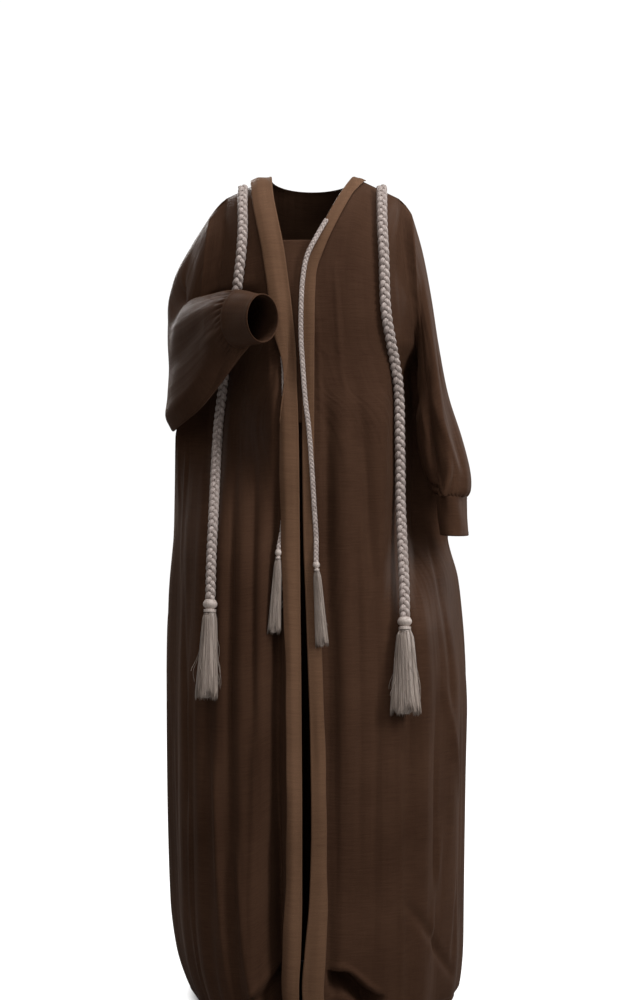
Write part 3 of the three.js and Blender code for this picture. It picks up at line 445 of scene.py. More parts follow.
def armhole_half_angle(around):
    """Half angle that the armhole takes out of the side, round it from its top (0) to its foot (pi)."""
    return np.arcsin(ARMHOLE_OPENING * np.abs(np.sin(around)) ** 0.8)


def armhole_around(drop):
    """Angle round the armhole that lies at a drop; pi below it."""
    return np.arccos(np.clip(1 - 2 * drop / ARMHOLE_DROP, -1, 1))


def body_drops(above, below):
    """Drops of a panel's rows: closer together at the shoulder and at the foot of the armhole."""
    high = ARMHOLE_DROP * 0.5 * (1 - np.cos(np.pi * np.linspace(0, 1, above, endpoint=False)))
    skirt = np.linspace(ARMHOLE_DROP, HEM_ZONE, int(0.74 * below), endpoint=False)
    return np.concatenate([high, skirt, np.linspace(HEM_ZONE, GARMENT_LENGTH, below - len(skirt))])


# ---------------- meshes


def grid_quads(index, ring=False):
    """Quads of a grid of vertex numbers, and for each corner its row and column."""
    rows, columns = index.shape
    last = columns if ring else columns - 1
    i, j = np.meshgrid(np.arange(rows - 1), np.arange(last), indexing="ij")
    corners = [(i, j), (i + 1, j), (i + 1, j + 1), (i, j + 1)]
    quads = np.stack([index[a, b % columns] for a, b in corners], -1).reshape(-1, 4)
    places = np.stack([np.stack([a, b], -1) for a, b in corners], 2).reshape(-1, 4, 2)
    return quads, places


class Shape:
    """Vertices in millimetres, quads, and a UV pair in metres for each corner."""

    def __init__(self):
        self.points, self.quads, self.uvs, self.kinds, self.count = [], [], [], [], 0

    def add_points(self, points):
        flat = np.asarray(points, float).reshape(-1, 3)
        start = self.count
        self.points.append(flat)
        self.count += len(flat)
        return np.arange(start, self.count).reshape(np.shape(points)[:-1])

    def grid(self, points, uv, ring=False, kind=0, flip=False):
        """A grid of points; uv has one column more where ring joins the last column to the first."""
        index = self.add_points(points)
        self.faces(index, uv, ring, kind, flip)
        return index

    def faces(self, index, uv, ring=False, kind=0, flip=False):
        quads, places = grid_quads(index, ring)
        uvs = uv[places[..., 0], places[..., 1]]
        if flip:
            quads, uvs = quads[:, ::-1], uvs[:, ::-1]
        self.quads.append(quads)
        self.uvs.append(uvs)
        self.kinds.append(np.full(len(quads), kind))

    def object(self, name, materials):
        mesh = bpy.data.meshes.new(name)
        points = np.concatenate(self.points) * MM
        quads = np.concatenate(self.quads)
        mesh.from_pydata(points.tolist(), [], quads.tolist())
        layer = mesh.uv_layers.new(name="cloth")
        layer.data.foreach_set("uv", np.concatenate(self.uvs).reshape(-1).astype(np.float32))
        mesh.polygons.foreach_set("use_smooth", np.ones(len(quads), bool))
        mesh.polygons.foreach_set("material_index", np.concatenate(self.kinds).astype(np.int32))
        for material in materials:
            mesh.materials.append(material)
        mesh.update()
        return linked(name, mesh)


def cloth_wall(outer, normals, uv, thickness, ring=False):
    """Closed wall: the outer grid, the same moved in along its normals, and a rounded rim round both."""
    inner = outer - normals * thickness
    middle = 0.5 * (outer + inner)
    shape = Shape()
    top_out = unit(outer[0] - outer[1]) * thickness / 2
    foot_out = unit(outer[-1] - outer[-2]) * thickness / 2
    a = shape.grid(outer, uv, ring)
    b = shape.grid(inner, uv, ring, flip=True)
    top, foot = shape.add_points(middle[0] + top_out), shape.add_points(middle[-1] + foot_out)
    if not ring:
        left = shape.add_points(middle[:, 0] + unit(outer[:, 0] - outer[:, 1]) * thickness / 2)
        right = shape.add_points(middle[:, -1] + unit(outer[:, -1] - outer[:, -2]) * thickness / 2)
        top[0], top[-1], foot[0], foot[-1] = left[0], right[0], left[-1], right[-1]
        for side, column_at, flip in ((left, 0, True), (right, -1, False)):
            strip = np.stack([a[:, column_at], side, b[:, column_at]], 1)
            edge_uv = np.repeat(uv[:, [column_at]], 3, 1)
            shape.faces(strip, edge_uv, flip=flip)
    for line, row, flip in ((top, 0, False), (foot, -1, True)):
        strip = np.stack([b[row], line, a[row]], 0)
        edge_uv = np.repeat(uv[[row]], 3, 0)
        shape.faces(strip, edge_uv, ring=ring, flip=flip)
    return shape


def measured_uv(points, ring=False):
    """UV in metres: lengths along the middle column, and along each row from its middle."""
    if ring:
        points = np.concatenate([points, points[:, :1]], 1)
    across = np.linalg.norm(np.diff(points, axis=1), axis=-1).cumsum(1)
    across = np.concatenate([np.zeros((len(points), 1)), across], 1)
    if ring:
        across = across / across[:, -1:] * across[:, -1].mean()
    else:
        across = across - across[:, [points.shape[1] // 2]]
    down = np.linalg.norm(np.diff(points, axis=0), axis=-1).mean(1).cumsum()
    down = np.concatenate([[0], down])
    return np.stack([across, np.broadcast_to(-down[:, None], across.shape)], -1) * MM


# ---------------- panels


FRONT_COLUMNS, BACK_COLUMNS = 92, 150
ROWS_ABOVE, ROWS_BELOW = 64, 220
SEAM_SUNK, SEAM_WIDE = 0.7, 2.5
HEM_RAISED, HEM_STEP = 0.6, 2.0


def seam_dip(distance):
    """Cloth sinks a little along a seam, by a bell of the distance from it."""
    return SEAM_SUNK * bell(distance / SEAM_WIDE)


def front_angles(side, share, drop):
    """Angles of a front panel: from its front edge to the side seam or armhole, closer at the edge."""
    start = angle_at(edge_x[side](drop), drop)
    cut = side * armhole_half_angle(armhole_around(drop))
    return start + (side * np.pi / 2 - start) * share**COLUMN_SPREAD - cut * share * share


def front_surface(side, share, drop):
    """Points and normals of a front panel's outer face at shares of its width and drops."""
    angle = front_angles(side, share, drop)
    lowered = drop * hem_drop(angle) / GARMENT_LENGTH
    points = body_point(angle, lowered)
    points[..., 1] -= SEAM_GAP / 2
    return points, body_normal(angle, np.maximum(lowered, 0.5))


def front_panel(side):
    share, drop = np.meshgrid(np.linspace(0, 1, FRONT_COLUMNS), body_drops(ROWS_ABOVE, ROWS_BELOW))
    points, normals = front_surface(side, share, drop)
    return points[:, ::side], normals[:, ::side]


def back_panel():
    """Back panel: from the wearer's left side seam to the right one, its neck a shallow half oval."""
    across, drop = np.meshgrid(np.linspace(-1, 1, BACK_COLUMNS), body_drops(ROWS_ABOVE, ROWS_BELOW))
    cut = armhole_half_angle(armhole_around(drop))
    angle = np.pi + np.pi / 2 * across - cut * across * np.abs(across)
    out = np.abs(angle - np.pi) / math.asin(NECK_HALF / SHOULDER_HALF)
    neck = BACK_NECK_DROP * np.sqrt(np.clip(1 - out**2, 0, 1))
    lowered = neck + drop * (GARMENT_LENGTH - neck) / GARMENT_LENGTH
    points = body_point(angle, lowered)
    points[..., 1] += SEAM_GAP / 2
    return points, body_normal(angle, np.maximum(lowered, 0.5))


def panel_finish(points, normals):
    """Sinks the side seams and the hem's stitch line and gives the turned hem its second layer."""
    uv = measured_uv(points)
    width = uv[..., 0] / MM
    sides = np.minimum(width - width[:, :1], width[:, -1:] - width)
    from_stitch = (uv[..., 1] - uv[-1:, :, 1]) / MM - HEM_DEPTH
    hem = HEM_RAISED * (1 - ease(from_stitch, -HEM_STEP, HEM_STEP)) - SEAM_SUNK * bell(from_stitch / HEM_STEP)
    return points + normals * (hem - seam_dip(sides))[..., None], uv


STITCH_WIDE, STITCH_THICK = 0.3, 0.22  # half sizes of the thread
HEM_STITCH = dict(pitch=4.6, length=2.9)
CUFF_STITCH = dict(pitch=3.2, length=2.1)


def stitch_line(shape, line, out, pitch, length):
    """Running stitches: short threads at equal steps along a line, each rising a little in its middle."""
    run = run_of(line)
    ahead = unit(np.gradient(line, axis=0))
    rise = 0.1 + 0.22 * np.sin(np.pi * np.linspace(0, 1, 4))[:, None]
    for start in np.arange(pitch / 2, run[-1] - length, pitch):
        at = np.linspace(start, start + length, 4)
        up = read_along(out, run, at)
        across = np.cross(up, read_along(ahead, run, at))
        tube(shape, read_along(line, run, at) + up * rise, STITCH_WIDE, STITCH_THICK, across, 4, kind=1)


# ---------------- sleeves and cuffs

SLEEVE_AROUND, SLEEVE_ALONG, ROOT_ROWS = 142, 150, 12
ROOT_REACH, ROOT_LEAVE = 0.9, 0.35  # how strongly a sleeve's root holds its direction at each end
CUFF_ROWS = 34
CUFF_LAYERS = 1.5
CUFF_STITCH_ROWS = (2, -3)


def section_point(sections, side, station, around):
    """Oval section: down from the upper to the under point by cosine, out by sine of its half width."""
    upper, under = through(sections["upper"], station), through(sections["under"], station)
    half, slim = through(sections["half"], station), through(sections["slim"], station)
    turn = np.radians(through(sections["heading"], station))
    facing = np.stack([-side * np.sin(turn), -np.cos(turn), np.zeros(turn.shape)], -1)
    height = (1 + np.cos(around)) / 2
    breadth = half * np.sin(around) * (1 - slim * (1 - height))
    return under + (upper - under) * height[..., None] + facing * breadth[..., None]


def armhole_edge(side, around):
    """Points of the armhole seam and the direction in which the cloth runs on into the sleeve."""
    drop = ARMHOLE_DROP * 0.5 * (1 - np.cos(around))
    front = np.where(np.sin(around) >= 0, 1.0, -1.0)
    angle = side * (np.pi / 2 - front * armhole_half_angle(around))
    points = body_point(angle, drop)
    normal = body_normal(angle, np.maximum(drop, 0.5))
    normal[0] = unit(np.array([side * SHOULDER_FALL, 0, SHOULDER_HALF - NECK_HALF]))
    along = np.roll(points, -1, 0) - np.roll(points, 1, 0)
    away = unit(np.cross(normal, along))
    if away[0, 0] * side < 0:
        away = -away
    return points, away, normal


def sleeve_surface(side, sections, creases):
    """Root: a cubic from the armhole seam, leaving along the cloth, to the first section. Then the
    sections' own curve, raised by creases along it and by gathers that grow towards the cuff."""
    around = full_turn(SLEEVE_AROUND)
    seam, away, out = armhole_edge(side, around)
    last = len(sections["half"]) - 1
    station, turn = np.meshgrid(np.linspace(0, last, SLEEVE_ALONG), around, indexing="ij")
    sleeve = section_point(sections, side, station, turn)
    leave = (sleeve[1] - sleeve[0]) * (SLEEVE_ALONG - 1) / last * ROOT_LEAVE
    t = np.linspace(0, 1, ROOT_ROWS, endpoint=False)[:, None, None]
    start = seam - away * SEAM_TURN - out * (CLOTH + 0.5)
    reach = np.linalg.norm(sleeve[0] - start, axis=-1, keepdims=True) * ROOT_REACH
    root = cubic(t, start, away * reach, sleeve[0], leave)
    lift = np.zeros(station.shape)
    degrees = np.degrees(turn)
    for start_at, end, first, final, width, height in creases:
        along = np.clip((station - start_at) / (end - start_at), 0, 1)
        lift += height * np.sin(np.pi * along) * crest(degrees, first, final, along, width)
    g = CUFF_GATHERS
    seam_at = last - g["seam"]
    grown = ease(station, last - g["reach"], seam_at) * (1 - g["flat"] * ease(station, seam_at, last))
    uneven = 1 + 0.35 * np.sin(5 * turn + 1.3) + 0.25 * np.sin(11 * turn)
    wander = 0.25 * np.sin(3 * turn) + 0.5 * (last - station) * np.sin(7 * turn)
    lift += g["height"] * grown * uneven * np.sin(g["count"] * turn + wander)
    points = np.concatenate([root, sleeve + normals_of(sleeve, True) * side * lift[..., None]])
    normals = normals_of(points, True) * side
    dip = seam_dip(np.linalg.norm(points - points[:1], axis=-1))
    return points - normals * dip[..., None], normals


def cuff_surface(side, sections, end):
    """Straight tube from the sleeve's last section to the cuff's end section, softly wrinkled, with
    both edges thinner and a stitch line sunk beside each."""
    around = full_turn(SLEEVE_AROUND)
    last = section_point(sections, side, np.full(around.shape, len(sections["half"]) - 1.0), around)
    finish = section_point(end, side, np.zeros(around.shape), around)
    axis = unit((finish.mean(0) - last.mean(0))[None])[0]
    start = last + axis * SEAM_GAP
    t = np.linspace(0, 1, CUFF_ROWS)[:, None]
    points = start + (finish - start) * t[..., None]
    wrinkle = (0.8 * np.sin(np.pi * t) * np.sin(3 * around + 2.2 * t + side)
               + 0.5 * np.sin(2 * np.pi * t) * np.sin(5 * around + 4))
    edge = np.minimum(t, 1 - t) * np.linalg.norm((finish - start).mean(0))
    stitched = -0.5 * bell((edge - 4) / 1.3) + 0.4 * ease(edge, 0, 3)
    normals = normals_of(points, True) * side
    return points + normals * (wrinkle + stitched)[..., None], normals


# ---------------- bands and underlap


BAND_SHARE = 0.35  # share of a panel's width in which its band is measured out
BAND_TUCK = 14.0  # how far a band reaches inside the panel
BAND_ROWS = (70, 250)


def read_rows(run, target, *grids):
    """Grids read at target lengths along each of their rows."""
    place = (run[:, :, None] < target[:, None, :]).sum(1).clip(1, run.shape[1] - 1)
    take = np.take_along_axis
    low, high = take(run, place - 1, 1), take(run, place, 1)
    t = ((target - low) / np.maximum(high - low, 1e-6))[..., None]
    place = place[..., None]
    return [take(grid, place - 1, 1) * (1 - t) + take(grid, place, 1) * t for grid in grids]


def band_surface(side):
    """Facing turned out along a front edge: the panel's own points at set distances from the edge, on
    a stand that grows to its lift, after a lip that rolls round the edge to the inside."""
    drops = body_drops(*BAND_ROWS)
    share, drop = np.meshgrid(np.linspace(0, BAND_SHARE, 90), drops)
    points, normals = front_surface(side, share, drop)
    run = np.linalg.norm(np.diff(points, axis=1), axis=-1).cumsum(1)
    run = np.concatenate([np.zeros((len(drops), 1)), run], 1)
    width = band_width[side](-points[:, :1, 2])
    spots = np.linspace(0, 1, 15)[None]
    face, out = read_rows(run, spots * width, points, normals)
    stand = SEAM_GAP + BAND_LIFT[side] * ease(spots, 0, 0.7) + CLOTH
    flutter = 0.8 * np.sin(drops / 47.0)[:, None] + 0.6 * np.sin(drops / 19.0 + side)[:, None]
    stand = stand + flutter * spots**2 * ease(drops, 60, 200)[:, None]
    face = face + unit(out) * stand[..., None]
    inwards = unit(points[:, 4] - points[:, 0])[:, None]
    edge, n0 = points[:, :1], normals[:, :1]
    middle = CLOTH / 2
    radius = SEAM_GAP + CLOTH + middle
    roll = np.linspace(np.pi * 0.92, 0.08 * np.pi, 7)[None, :, None]
    lip = edge - n0 * middle + n0 * radius * np.cos(roll) - inwards * radius * np.sin(roll)
    tuck = edge - n0 * (middle + radius) + inwards * np.linspace(BAND_TUCK, 1.5, 6)[None, :, None]
    return np.concatenate([tuck, lip, face], 1)[:, ::side]


def underlap_surface():
    """Strip behind the right front edge: the body's surface moved in by its depth."""
    u = UNDERLAP
    x, drop = np.meshgrid(np.linspace(u["left"], u["right"], 34), np.linspace(u["start"], u["to"], 90))
    angle = angle_at(x, drop)
    return body_point(angle, drop) - body_normal(angle, drop) * (CLOTH + u["depth"])


# ---------------- cords


def centre_line(route, step=1.5):
    """Centripetal Catmull-Rom curve through the route, read at equal steps of its length."""
    p = np.array(route, float)
    p = np.concatenate([[2 * p[0] - p[1]], p, [2 * p[-1] - p[-2]]])
    gaps = np.sqrt(np.linalg.norm(np.diff(p, axis=0), axis=1))
    t = np.linspace(0, 1, 40, endpoint=False)[None, :, None]
    p0, p1, p2, p3 = (p[i:len(p) - 3 + i, None] for i in range(4))
    g0, g1, g2 = (gaps[i:len(gaps) - 2 + i, None, None] for i in range(3))
    m1 = (p2 - p1) + g1 * ((p1 - p0) / g0 - (p2 - p0) / (g0 + g1))
    m2 = (p2 - p1) + g1 * ((p3 - p2) / g2 - (p3 - p1) / (g1 + g2))
    line = np.concatenate([cubic(t, p1, m1, p2, m2).reshape(-1, 3), p[-2:-1]])
    run = run_of(line)
    at = np.linspace(0, run[-1], int(run[-1] / step) + 1)
    return read_along(line, run, at), at


def frames_along(line):
    """Width and depth directions at each point: +X made square to the line, and their cross product."""
    tangent = unit(np.gradient(line, axis=0))
    width = unit(np.array([1.0, 0, 0]) - tangent[:, :1] * tangent)
    return width, np.cross(tangent, width)


def tube(shape, line, half_wide, half_thick, wide, sides, kind=0, shade=0.0):
    """Oval tube along a line, closed at both ends by drawing its end rings to a point. `shade` moves
    its UV aside, so that threads don't all have one tone."""
    tangent = unit(np.gradient(line, axis=0))
    wide = unit(wide - (wide * tangent).sum(1, keepdims=True) * tangent)
    thick = np.cross(tangent, wide)
    a = full_turn(sides)[None, :, None]
    ring = np.cos(a) * half_wide * wide[:, None] + np.sin(a) * half_thick * thick[:, None]
    ends = np.ones((len(line), 1, 1))
    ends[0], ends[-1] = 0.01, 0.01
    around = np.linspace(0, 1, sides + 1) * 2 * np.pi * np.max(half_wide) + shade
    uv = np.stack(np.broadcast_arrays(around[None], run_of(line)[:, None]), -1) * MM
    shape.grid(line[:, None] + ring * ends, uv, ring=True, kind=kind)


HEAD_RUN = 30.0  # how far a cord runs on inside its tassel
HEAD_SLIMMER = 0.62  # share of its size that it loses there
PLAIT = dict(strands=3, swing=0.26, rise=0.205, strand_wide=0.25, strand_thick=0.185, sides=12)


def plait(cord):
    """Three strands that pass over and under each other: each swings by sin(phase) across the cord and
    rises by sin(2 phase) through it, a third of a turn apart."""
    inside = turned((0, 0, -HEAD_RUN), cord)
    line, run = centre_line((*cord["route"], tuple(inside)))
    width, depth = frames_along(line)
    slim = 1 - HEAD_SLIMMER * ease(run, run[-1] - HEAD_RUN - 3, run[-1] - HEAD_RUN + 5)
    shape = Shape()
    for k in range(PLAIT["strands"]):
        phase = 2 * np.pi * (run / cord["pitch"] + k / PLAIT["strands"])
        phase = phase + 0.12 * np.sin(run / 61.0 + k)
        across = PLAIT["swing"] * cord["width"] * slim * np.sin(phase)
        through_it = PLAIT["rise"] * cord["thick"] * slim * np.sin(2 * phase)
        strand = line + width * across[:, None] + depth * through_it[:, None]
        half_wide = PLAIT["strand_wide"] * cord["width"] * slim
        half_thick = PLAIT["strand_thick"] * cord["thick"] * slim
        tube(shape, strand, half_wide[:, None, None], half_thick[:, None, None], width, PLAIT["sides"])
    return shape, line


# ---------------- tassels


def turned(points, cord):
    """Local points, hanging from the origin, tilted about X after leaning about Y, set at the cord's end."""
    tilt, lean = math.radians(cord["hang"]["tilt"]), math.radians(cord["hang"]["lean"])
    x, y, z = np.moveaxis(np.asarray(points, float), -1, 0)
    x, z = x * math.cos(lean) + z * math.sin(lean), -x * math.sin(lean) + z * math.cos(lean)
    y, z = y * math.cos(tilt) - z * math.sin(tilt), y * math.sin(tilt) + z * math.cos(tilt)
    end = np.array(cord["route"][-1], float) - [0, 0, TASSEL_GAP]
    return np.stack([x, y, z], -1) + end


def lathe(profile, sides=48):
    """Surface of revolution of (radius, height) pairs round Z, with its UV in metres."""
    profile = np.array(profile, float)
    a = full_turn(sides)
    points = np.stack([profile[:, :1] * np.cos(a), profile[:, :1] * np.sin(a),
                       np.broadcast_to(profile[:, 1:], (len(profile), sides))], -1)
    around = np.linspace(0, 1, sides + 1) * 2 * np.pi * profile[:, 0].max()
    return points, np.stack(np.broadcast_arrays(around[None], run_of(profile)[:, None]), -1) * MM


def head_profile(head):
    """Bead with a dimple where the cord enters, a narrow neck, then a wound collar of flat rings."""
    b, h = head["bead"] / 2, head["bead_height"]
    t = np.linspace(0, 1, 22)
    swell = np.stack([b * (0.30 + 0.70 * np.sin(np.pi * (0.08 + 0.84 * t)) ** 0.55), 0.6 - h * t], 1)
    swell[:, 1] += 0.9 * bell((t - 0.06) / 0.07)
    c, depth = head["collar"] / 2, head["collar_height"]
    s = np.linspace(0, 1, 20)
    wound = np.stack([c * (0.94 + 0.05 * np.abs(np.sin(np.pi * 3 * s))), -h - 1.2 - (depth - 1.2) * s], 1)
    neck = [(0.62 * c, -h + 0.2), (0.62 * c, -h - 0.9)]
    top, foot = [(0.3, -2.2), (b * 0.22, -1.4)], [(0.6 * c, -h - depth - 0.4), (0.3, -h - depth - 0.4)]
    return np.concatenate([top, swell, neck, wound, foot])


def skirt_line(cord, turn, share, length, curl=0.0, count=13):
    """Thread of a skirt: a root in the collar, bulging out below it and fanning to its end.

    Radius = share * (root + (end - root) * (a quarter of a quick ease + three quarters of t^1.15));
    its depth is flattened towards the end, and curl turns it about the middle by t^2."""
    head, hang = cord["head"], cord["hang"]
    t = np.linspace(0, 1, count)
    top = -head["bead_height"] - head["collar_height"] + 1.0
    root, end = head["collar"] * 0.44, hang["flare"] / 2
    radius = share * (root + (end - root) * (0.25 * ease(t, 0, 0.12) + 0.75 * t**1.15))
    flat = 1 + (SKIRT_FLATNESS - 1) * t
    swing = turn + 0.12 * t + curl * t**2
    return np.stack([radius * np.cos(swing), radius * np.sin(swing) * flat, top - length * t], 1)


def lock_swell(turn):
    """Locks of threads: how much further out a skirt stands at an angle, as a share of its radius."""
    return 0.05 * np.sin(9 * turn + 1) + 0.03 * np.sin(23 * turn)


CORE_SHARE, CORE_LENGTH = 0.88, 0.955  # of the skirt's own radius and length
THREAD_SHARE = 0.91
THREAD_TURN = 2.39996  # golden angle, so that no two threads lie on one line
CORE_SIDES, STRAY_POINTS = 96, 40


def skirt_core(cord):
    """Solid middle of a skirt, drawn in at its root and end, which the threads hide."""
    turns = full_turn(CORE_SIDES)
    length = cord["hang"]["length"] * CORE_LENGTH
    shares = CORE_SHARE + lock_swell(turns)
    core = np.stack([skirt_line(cord, turn, share, length) for turn, share in zip(turns, shares)], 1)
    core[-1] *= [[0.2, 0.2, 1.0]]
    core[0] *= [[0.5, 0.5, 1.0]]
    return core


def skirt_threads(shape, cord):
    """Threads round the core, each at its own distance, length, curl and tone."""
    size = 0.026 * cord["head"]["bead"] + 0.15
    for k in range(cord["head"]["threads"]):
        turn = THREAD_TURN * k + rng.normal(0, 0.03)
        share = THREAD_SHARE + lock_swell(turn) + 0.07 * rng.random()
        length = cord["hang"]["length"] * (0.92 + 0.03 * math.sin(5 * turn) + 0.045 * rng.random())
        line = skirt_line(cord, turn, share, length, rng.normal(0, 0.12))
        outwards = turned(line * [2, 2, 1], cord) - turned(line, cord)
        tube(shape, turned(line, cord), size, size * 0.8, outwards, 3, kind=1, shade=rng.uniform(0, 400))


def stray_threads(shape, cord):
    """A few loose threads that leave the skirt and curl: a growing circle added to their line."""
    t = np.linspace(0, 1, STRAY_POINTS)
    for _ in range(cord["head"]["strays"]):
        turn, loops, phase = rng.uniform(0, 2 * np.pi), rng.uniform(0.7, 1.9), rng.uniform(0, 6)
        length = cord["hang"]["length"] * rng.uniform(0.55, 0.9)
        line = skirt_line(cord, turn, 1.05, length, 0.5, STRAY_POINTS)
        swing = rng.uniform(3, 7) * ease(t, 0.25, 1)
        curl = 2 * np.pi * loops * t + phase
        line[:, 0] += swing * np.sin(curl) + 3 * ease(t, 0.3, 1) * np.cos(turn)
        line[:, 2] += 0.8 * swing * np.cos(curl)
        tube(shape, turned(line, cord), 0.3, 0.3, np.tile([0.3, 0.9, 0.2], (STRAY_POINTS, 1)), 4, kind=1)


def tassel(cord):
    shape = Shape()
    points, uv = lathe(head_profile(cord["head"]))
    shape.grid(turned(points, cord), uv, ring=True, kind=0, flip=True)
    core = skirt_core(cord)
    shape.grid(turned(core, cord), measured_uv(core, True), ring=True, kind=1, flip=True)
    skirt_threads(shape, cord)
    stray_threads(shape, cord)
    return shape


# ---------------- materials


def linear(hex_colour):
    """sRGB hex to a linear RGBA colour."""
    srgb = np.array([int(hex_colour[i:i + 2], 16) for i in (1, 3, 5)]) / 255
    low = srgb <= 0.04045
    return (*np.where(low, srgb / 12.92, ((srgb + 0.055) / 1.055) ** 2.4).tolist(), 1.0)


def add(tree, kind, inputs=None, **settings):
    """Adds a node with its settings; each input is a value or an output to link from."""
    made = tree.nodes.new(kind)
    for key, value in settings.items():
        setattr(made, key, value)
    for key, value in (inputs or {}).items():
        if isinstance(value, bpy.types.NodeSocket):
            tree.links.new(value, made.inputs[key])
        else:
            made.inputs[key].default_value = value
    return made


def worked(tree, operation, *values):
    """Math node's result."""
    return add(tree, "ShaderNodeMath", dict(enumerate(values)), operation=operation).outputs[0]


def new_material(name, **shader):
    material = bpy.data.materials.new(name)
    material.use_nodes = True
    tree = material.node_tree
    surface = next(n for n in tree.nodes if n.type == "BSDF_PRINCIPLED")
    for key, value in shader.items():
        surface.inputs[key.replace("_", " ")].default_value = value
    return material, tree, surface


def noise(tree, vector, size, detail, roughness):
    """Noise with spots of a size in metres along a vector; size 1 where the vector is scaled already."""
    made = add(tree, "ShaderNodeTexNoise",
               {"Vector": vector, "Scale": 1 / size, "Detail": detail, "Roughness": roughness})
    return made.outputs["Fac"]


def stretched(tree, uv, across, along, turn=0.0):
    """UV scaled so that a noise of size 1 has spots `across` by `along` metres, turned a little."""
    made = add(tree, "ShaderNodeMapping", {"Vector": uv, "Scale": (1 / across, 1 / along, 1),
                                           "Rotation": (0, 0, turn)})
    return made.outputs["Vector"]


def spread(tree, value, low, high, to_low=0.0, to_high=1.0, **settings):
    """Value between low and high, moved to lie between to_low and to_high."""
    made = add(tree, "ShaderNodeMapRange", {"Value": value, "From Min": low, "From Max": high,
                                            "To Min": to_low, "To Max": to_high}, **settings)
    return made.outputs["Result"]


def relief(tree, height, strength, distance, below=None):
    """Bump of a height over the relief below it."""
    inputs = {"Height": height, "Strength": strength, "Distance": distance}
    if below is not None:
        inputs["Normal"] = below
    return add(tree, "ShaderNodeBump", inputs).outputs["Normal"]


def tint(tree, surface, tone, dark, light, ends=(0.0, 1.0)):
    """Base colour from dark to light as the tone goes from one end to the other."""
    ramp = add(tree, "ShaderNodeValToRGB", {"Fac": tone})
    for stop, place, colour in zip(ramp.color_ramp.elements, ends, (dark, light)):
        stop.position = place
        stop.color = linear(colour)
    tree.links.new(ramp.outputs["Color"], surface.inputs["Base Color"])


SLUBS = (0.035, 0.0026)  # length and spacing of the crosswise slubs, metres
PEBBLE = 0.0011
CLOUDS = 0.16
DRAGS = (0.028, 0.4)  # width and length of the faint drag lines that hang in the cloth
SLUB_SHARE, CLOUD_SHARE = 0.4, 0.5  # how much slubs and clouds tint the cloth beside its pebble
SATIN = "#c08a68"


def woven_crepe(name, dark, light, shine, sheen_hex):
    """Polyester crepe: matt twisted threads with a soft satin bloom where the cloth turns away. Its
    crosswise slubs are 2.6 mm apart and its pebble is drawn 1.1 mm across, coarse enough to show."""
    material, tree, surface = new_material(
        name, Roughness=0.6, Sheen_Weight=shine, Sheen_Roughness=0.5, Sheen_Tint=linear(sheen_hex),
        Specular_IOR_Level=0.1, Specular_Tint=linear(SATIN))
    uv = add(tree, "ShaderNodeUVMap", uv_map="cloth").outputs["UV"]
    slubs = noise(tree, stretched(tree, uv, *SLUBS), 1, 3.0, 0.6)
    pebble = noise(tree, uv, PEBBLE, 2.0, 0.65)
    clouds = noise(tree, uv, CLOUDS, 3.0, 0.5)
    drags = noise(tree, stretched(tree, uv, *DRAGS, 0.12), 1, 2.0, 0.5)
    tone = worked(tree, "MULTIPLY_ADD", slubs, SLUB_SHARE, worked(tree, "MULTIPLY", clouds, CLOUD_SHARE))
    tone = worked(tree, "ADD", tone, pebble)
    tint(tree, surface, spread(tree, tone, 0.62, 1.28), dark, light)
    tree.links.new(spread(tree, slubs, 0, 1, 0.48, 0.66), surface.inputs["Roughness"])
    ribs = relief(tree, slubs, 0.14, 0.0006)
    drape = relief(tree, drags, 0.5, 0.007, ribs)
    tree.links.new(relief(tree, pebble, 0.6, 0.0004, drape), surface.inputs["Normal"])
    return material


def viscose(name, dark, light, spacing, stretch, roughness, sheen):
    """Viscose yarn: bright smooth filaments, so a silky gloss that breaks up along the threads. The
    thread lines run along the piece, `spacing` metres apart and `stretch` metres long."""
    material, tree, surface = new_material(
        name, Roughness=roughness, Sheen_Weight=sheen, Sheen_Roughness=0.3, Specular_IOR_Level=0.55)
    uv = add(tree, "ShaderNodeUVMap", uv_map="cloth").outputs["UV"]
    threads = noise(tree, stretched(tree, uv, spacing, stretch, 0.18), 1, 2.5, 0.6)
    tint(tree, surface, threads, dark, light, (0.32, 0.68))
    tree.links.new(relief(tree, threads, 0.7, 0.0006), surface.inputs["Normal"])
    return material


# ---------------- floor and light

FLOOR_Z = -1.4205
FLOOR_REACH = 14.0
# Painted shadow where the garment stands, as an oval: the floor is painted dark inside it and fades to white
# outside it.
PAINTED_FOOTPRINT_SHADOW = dict(middle=(0.012, 0.02, 0), across=0.2, deep=0.222, glow=(1.02, 1.2), shade=(0.9, 1.1))


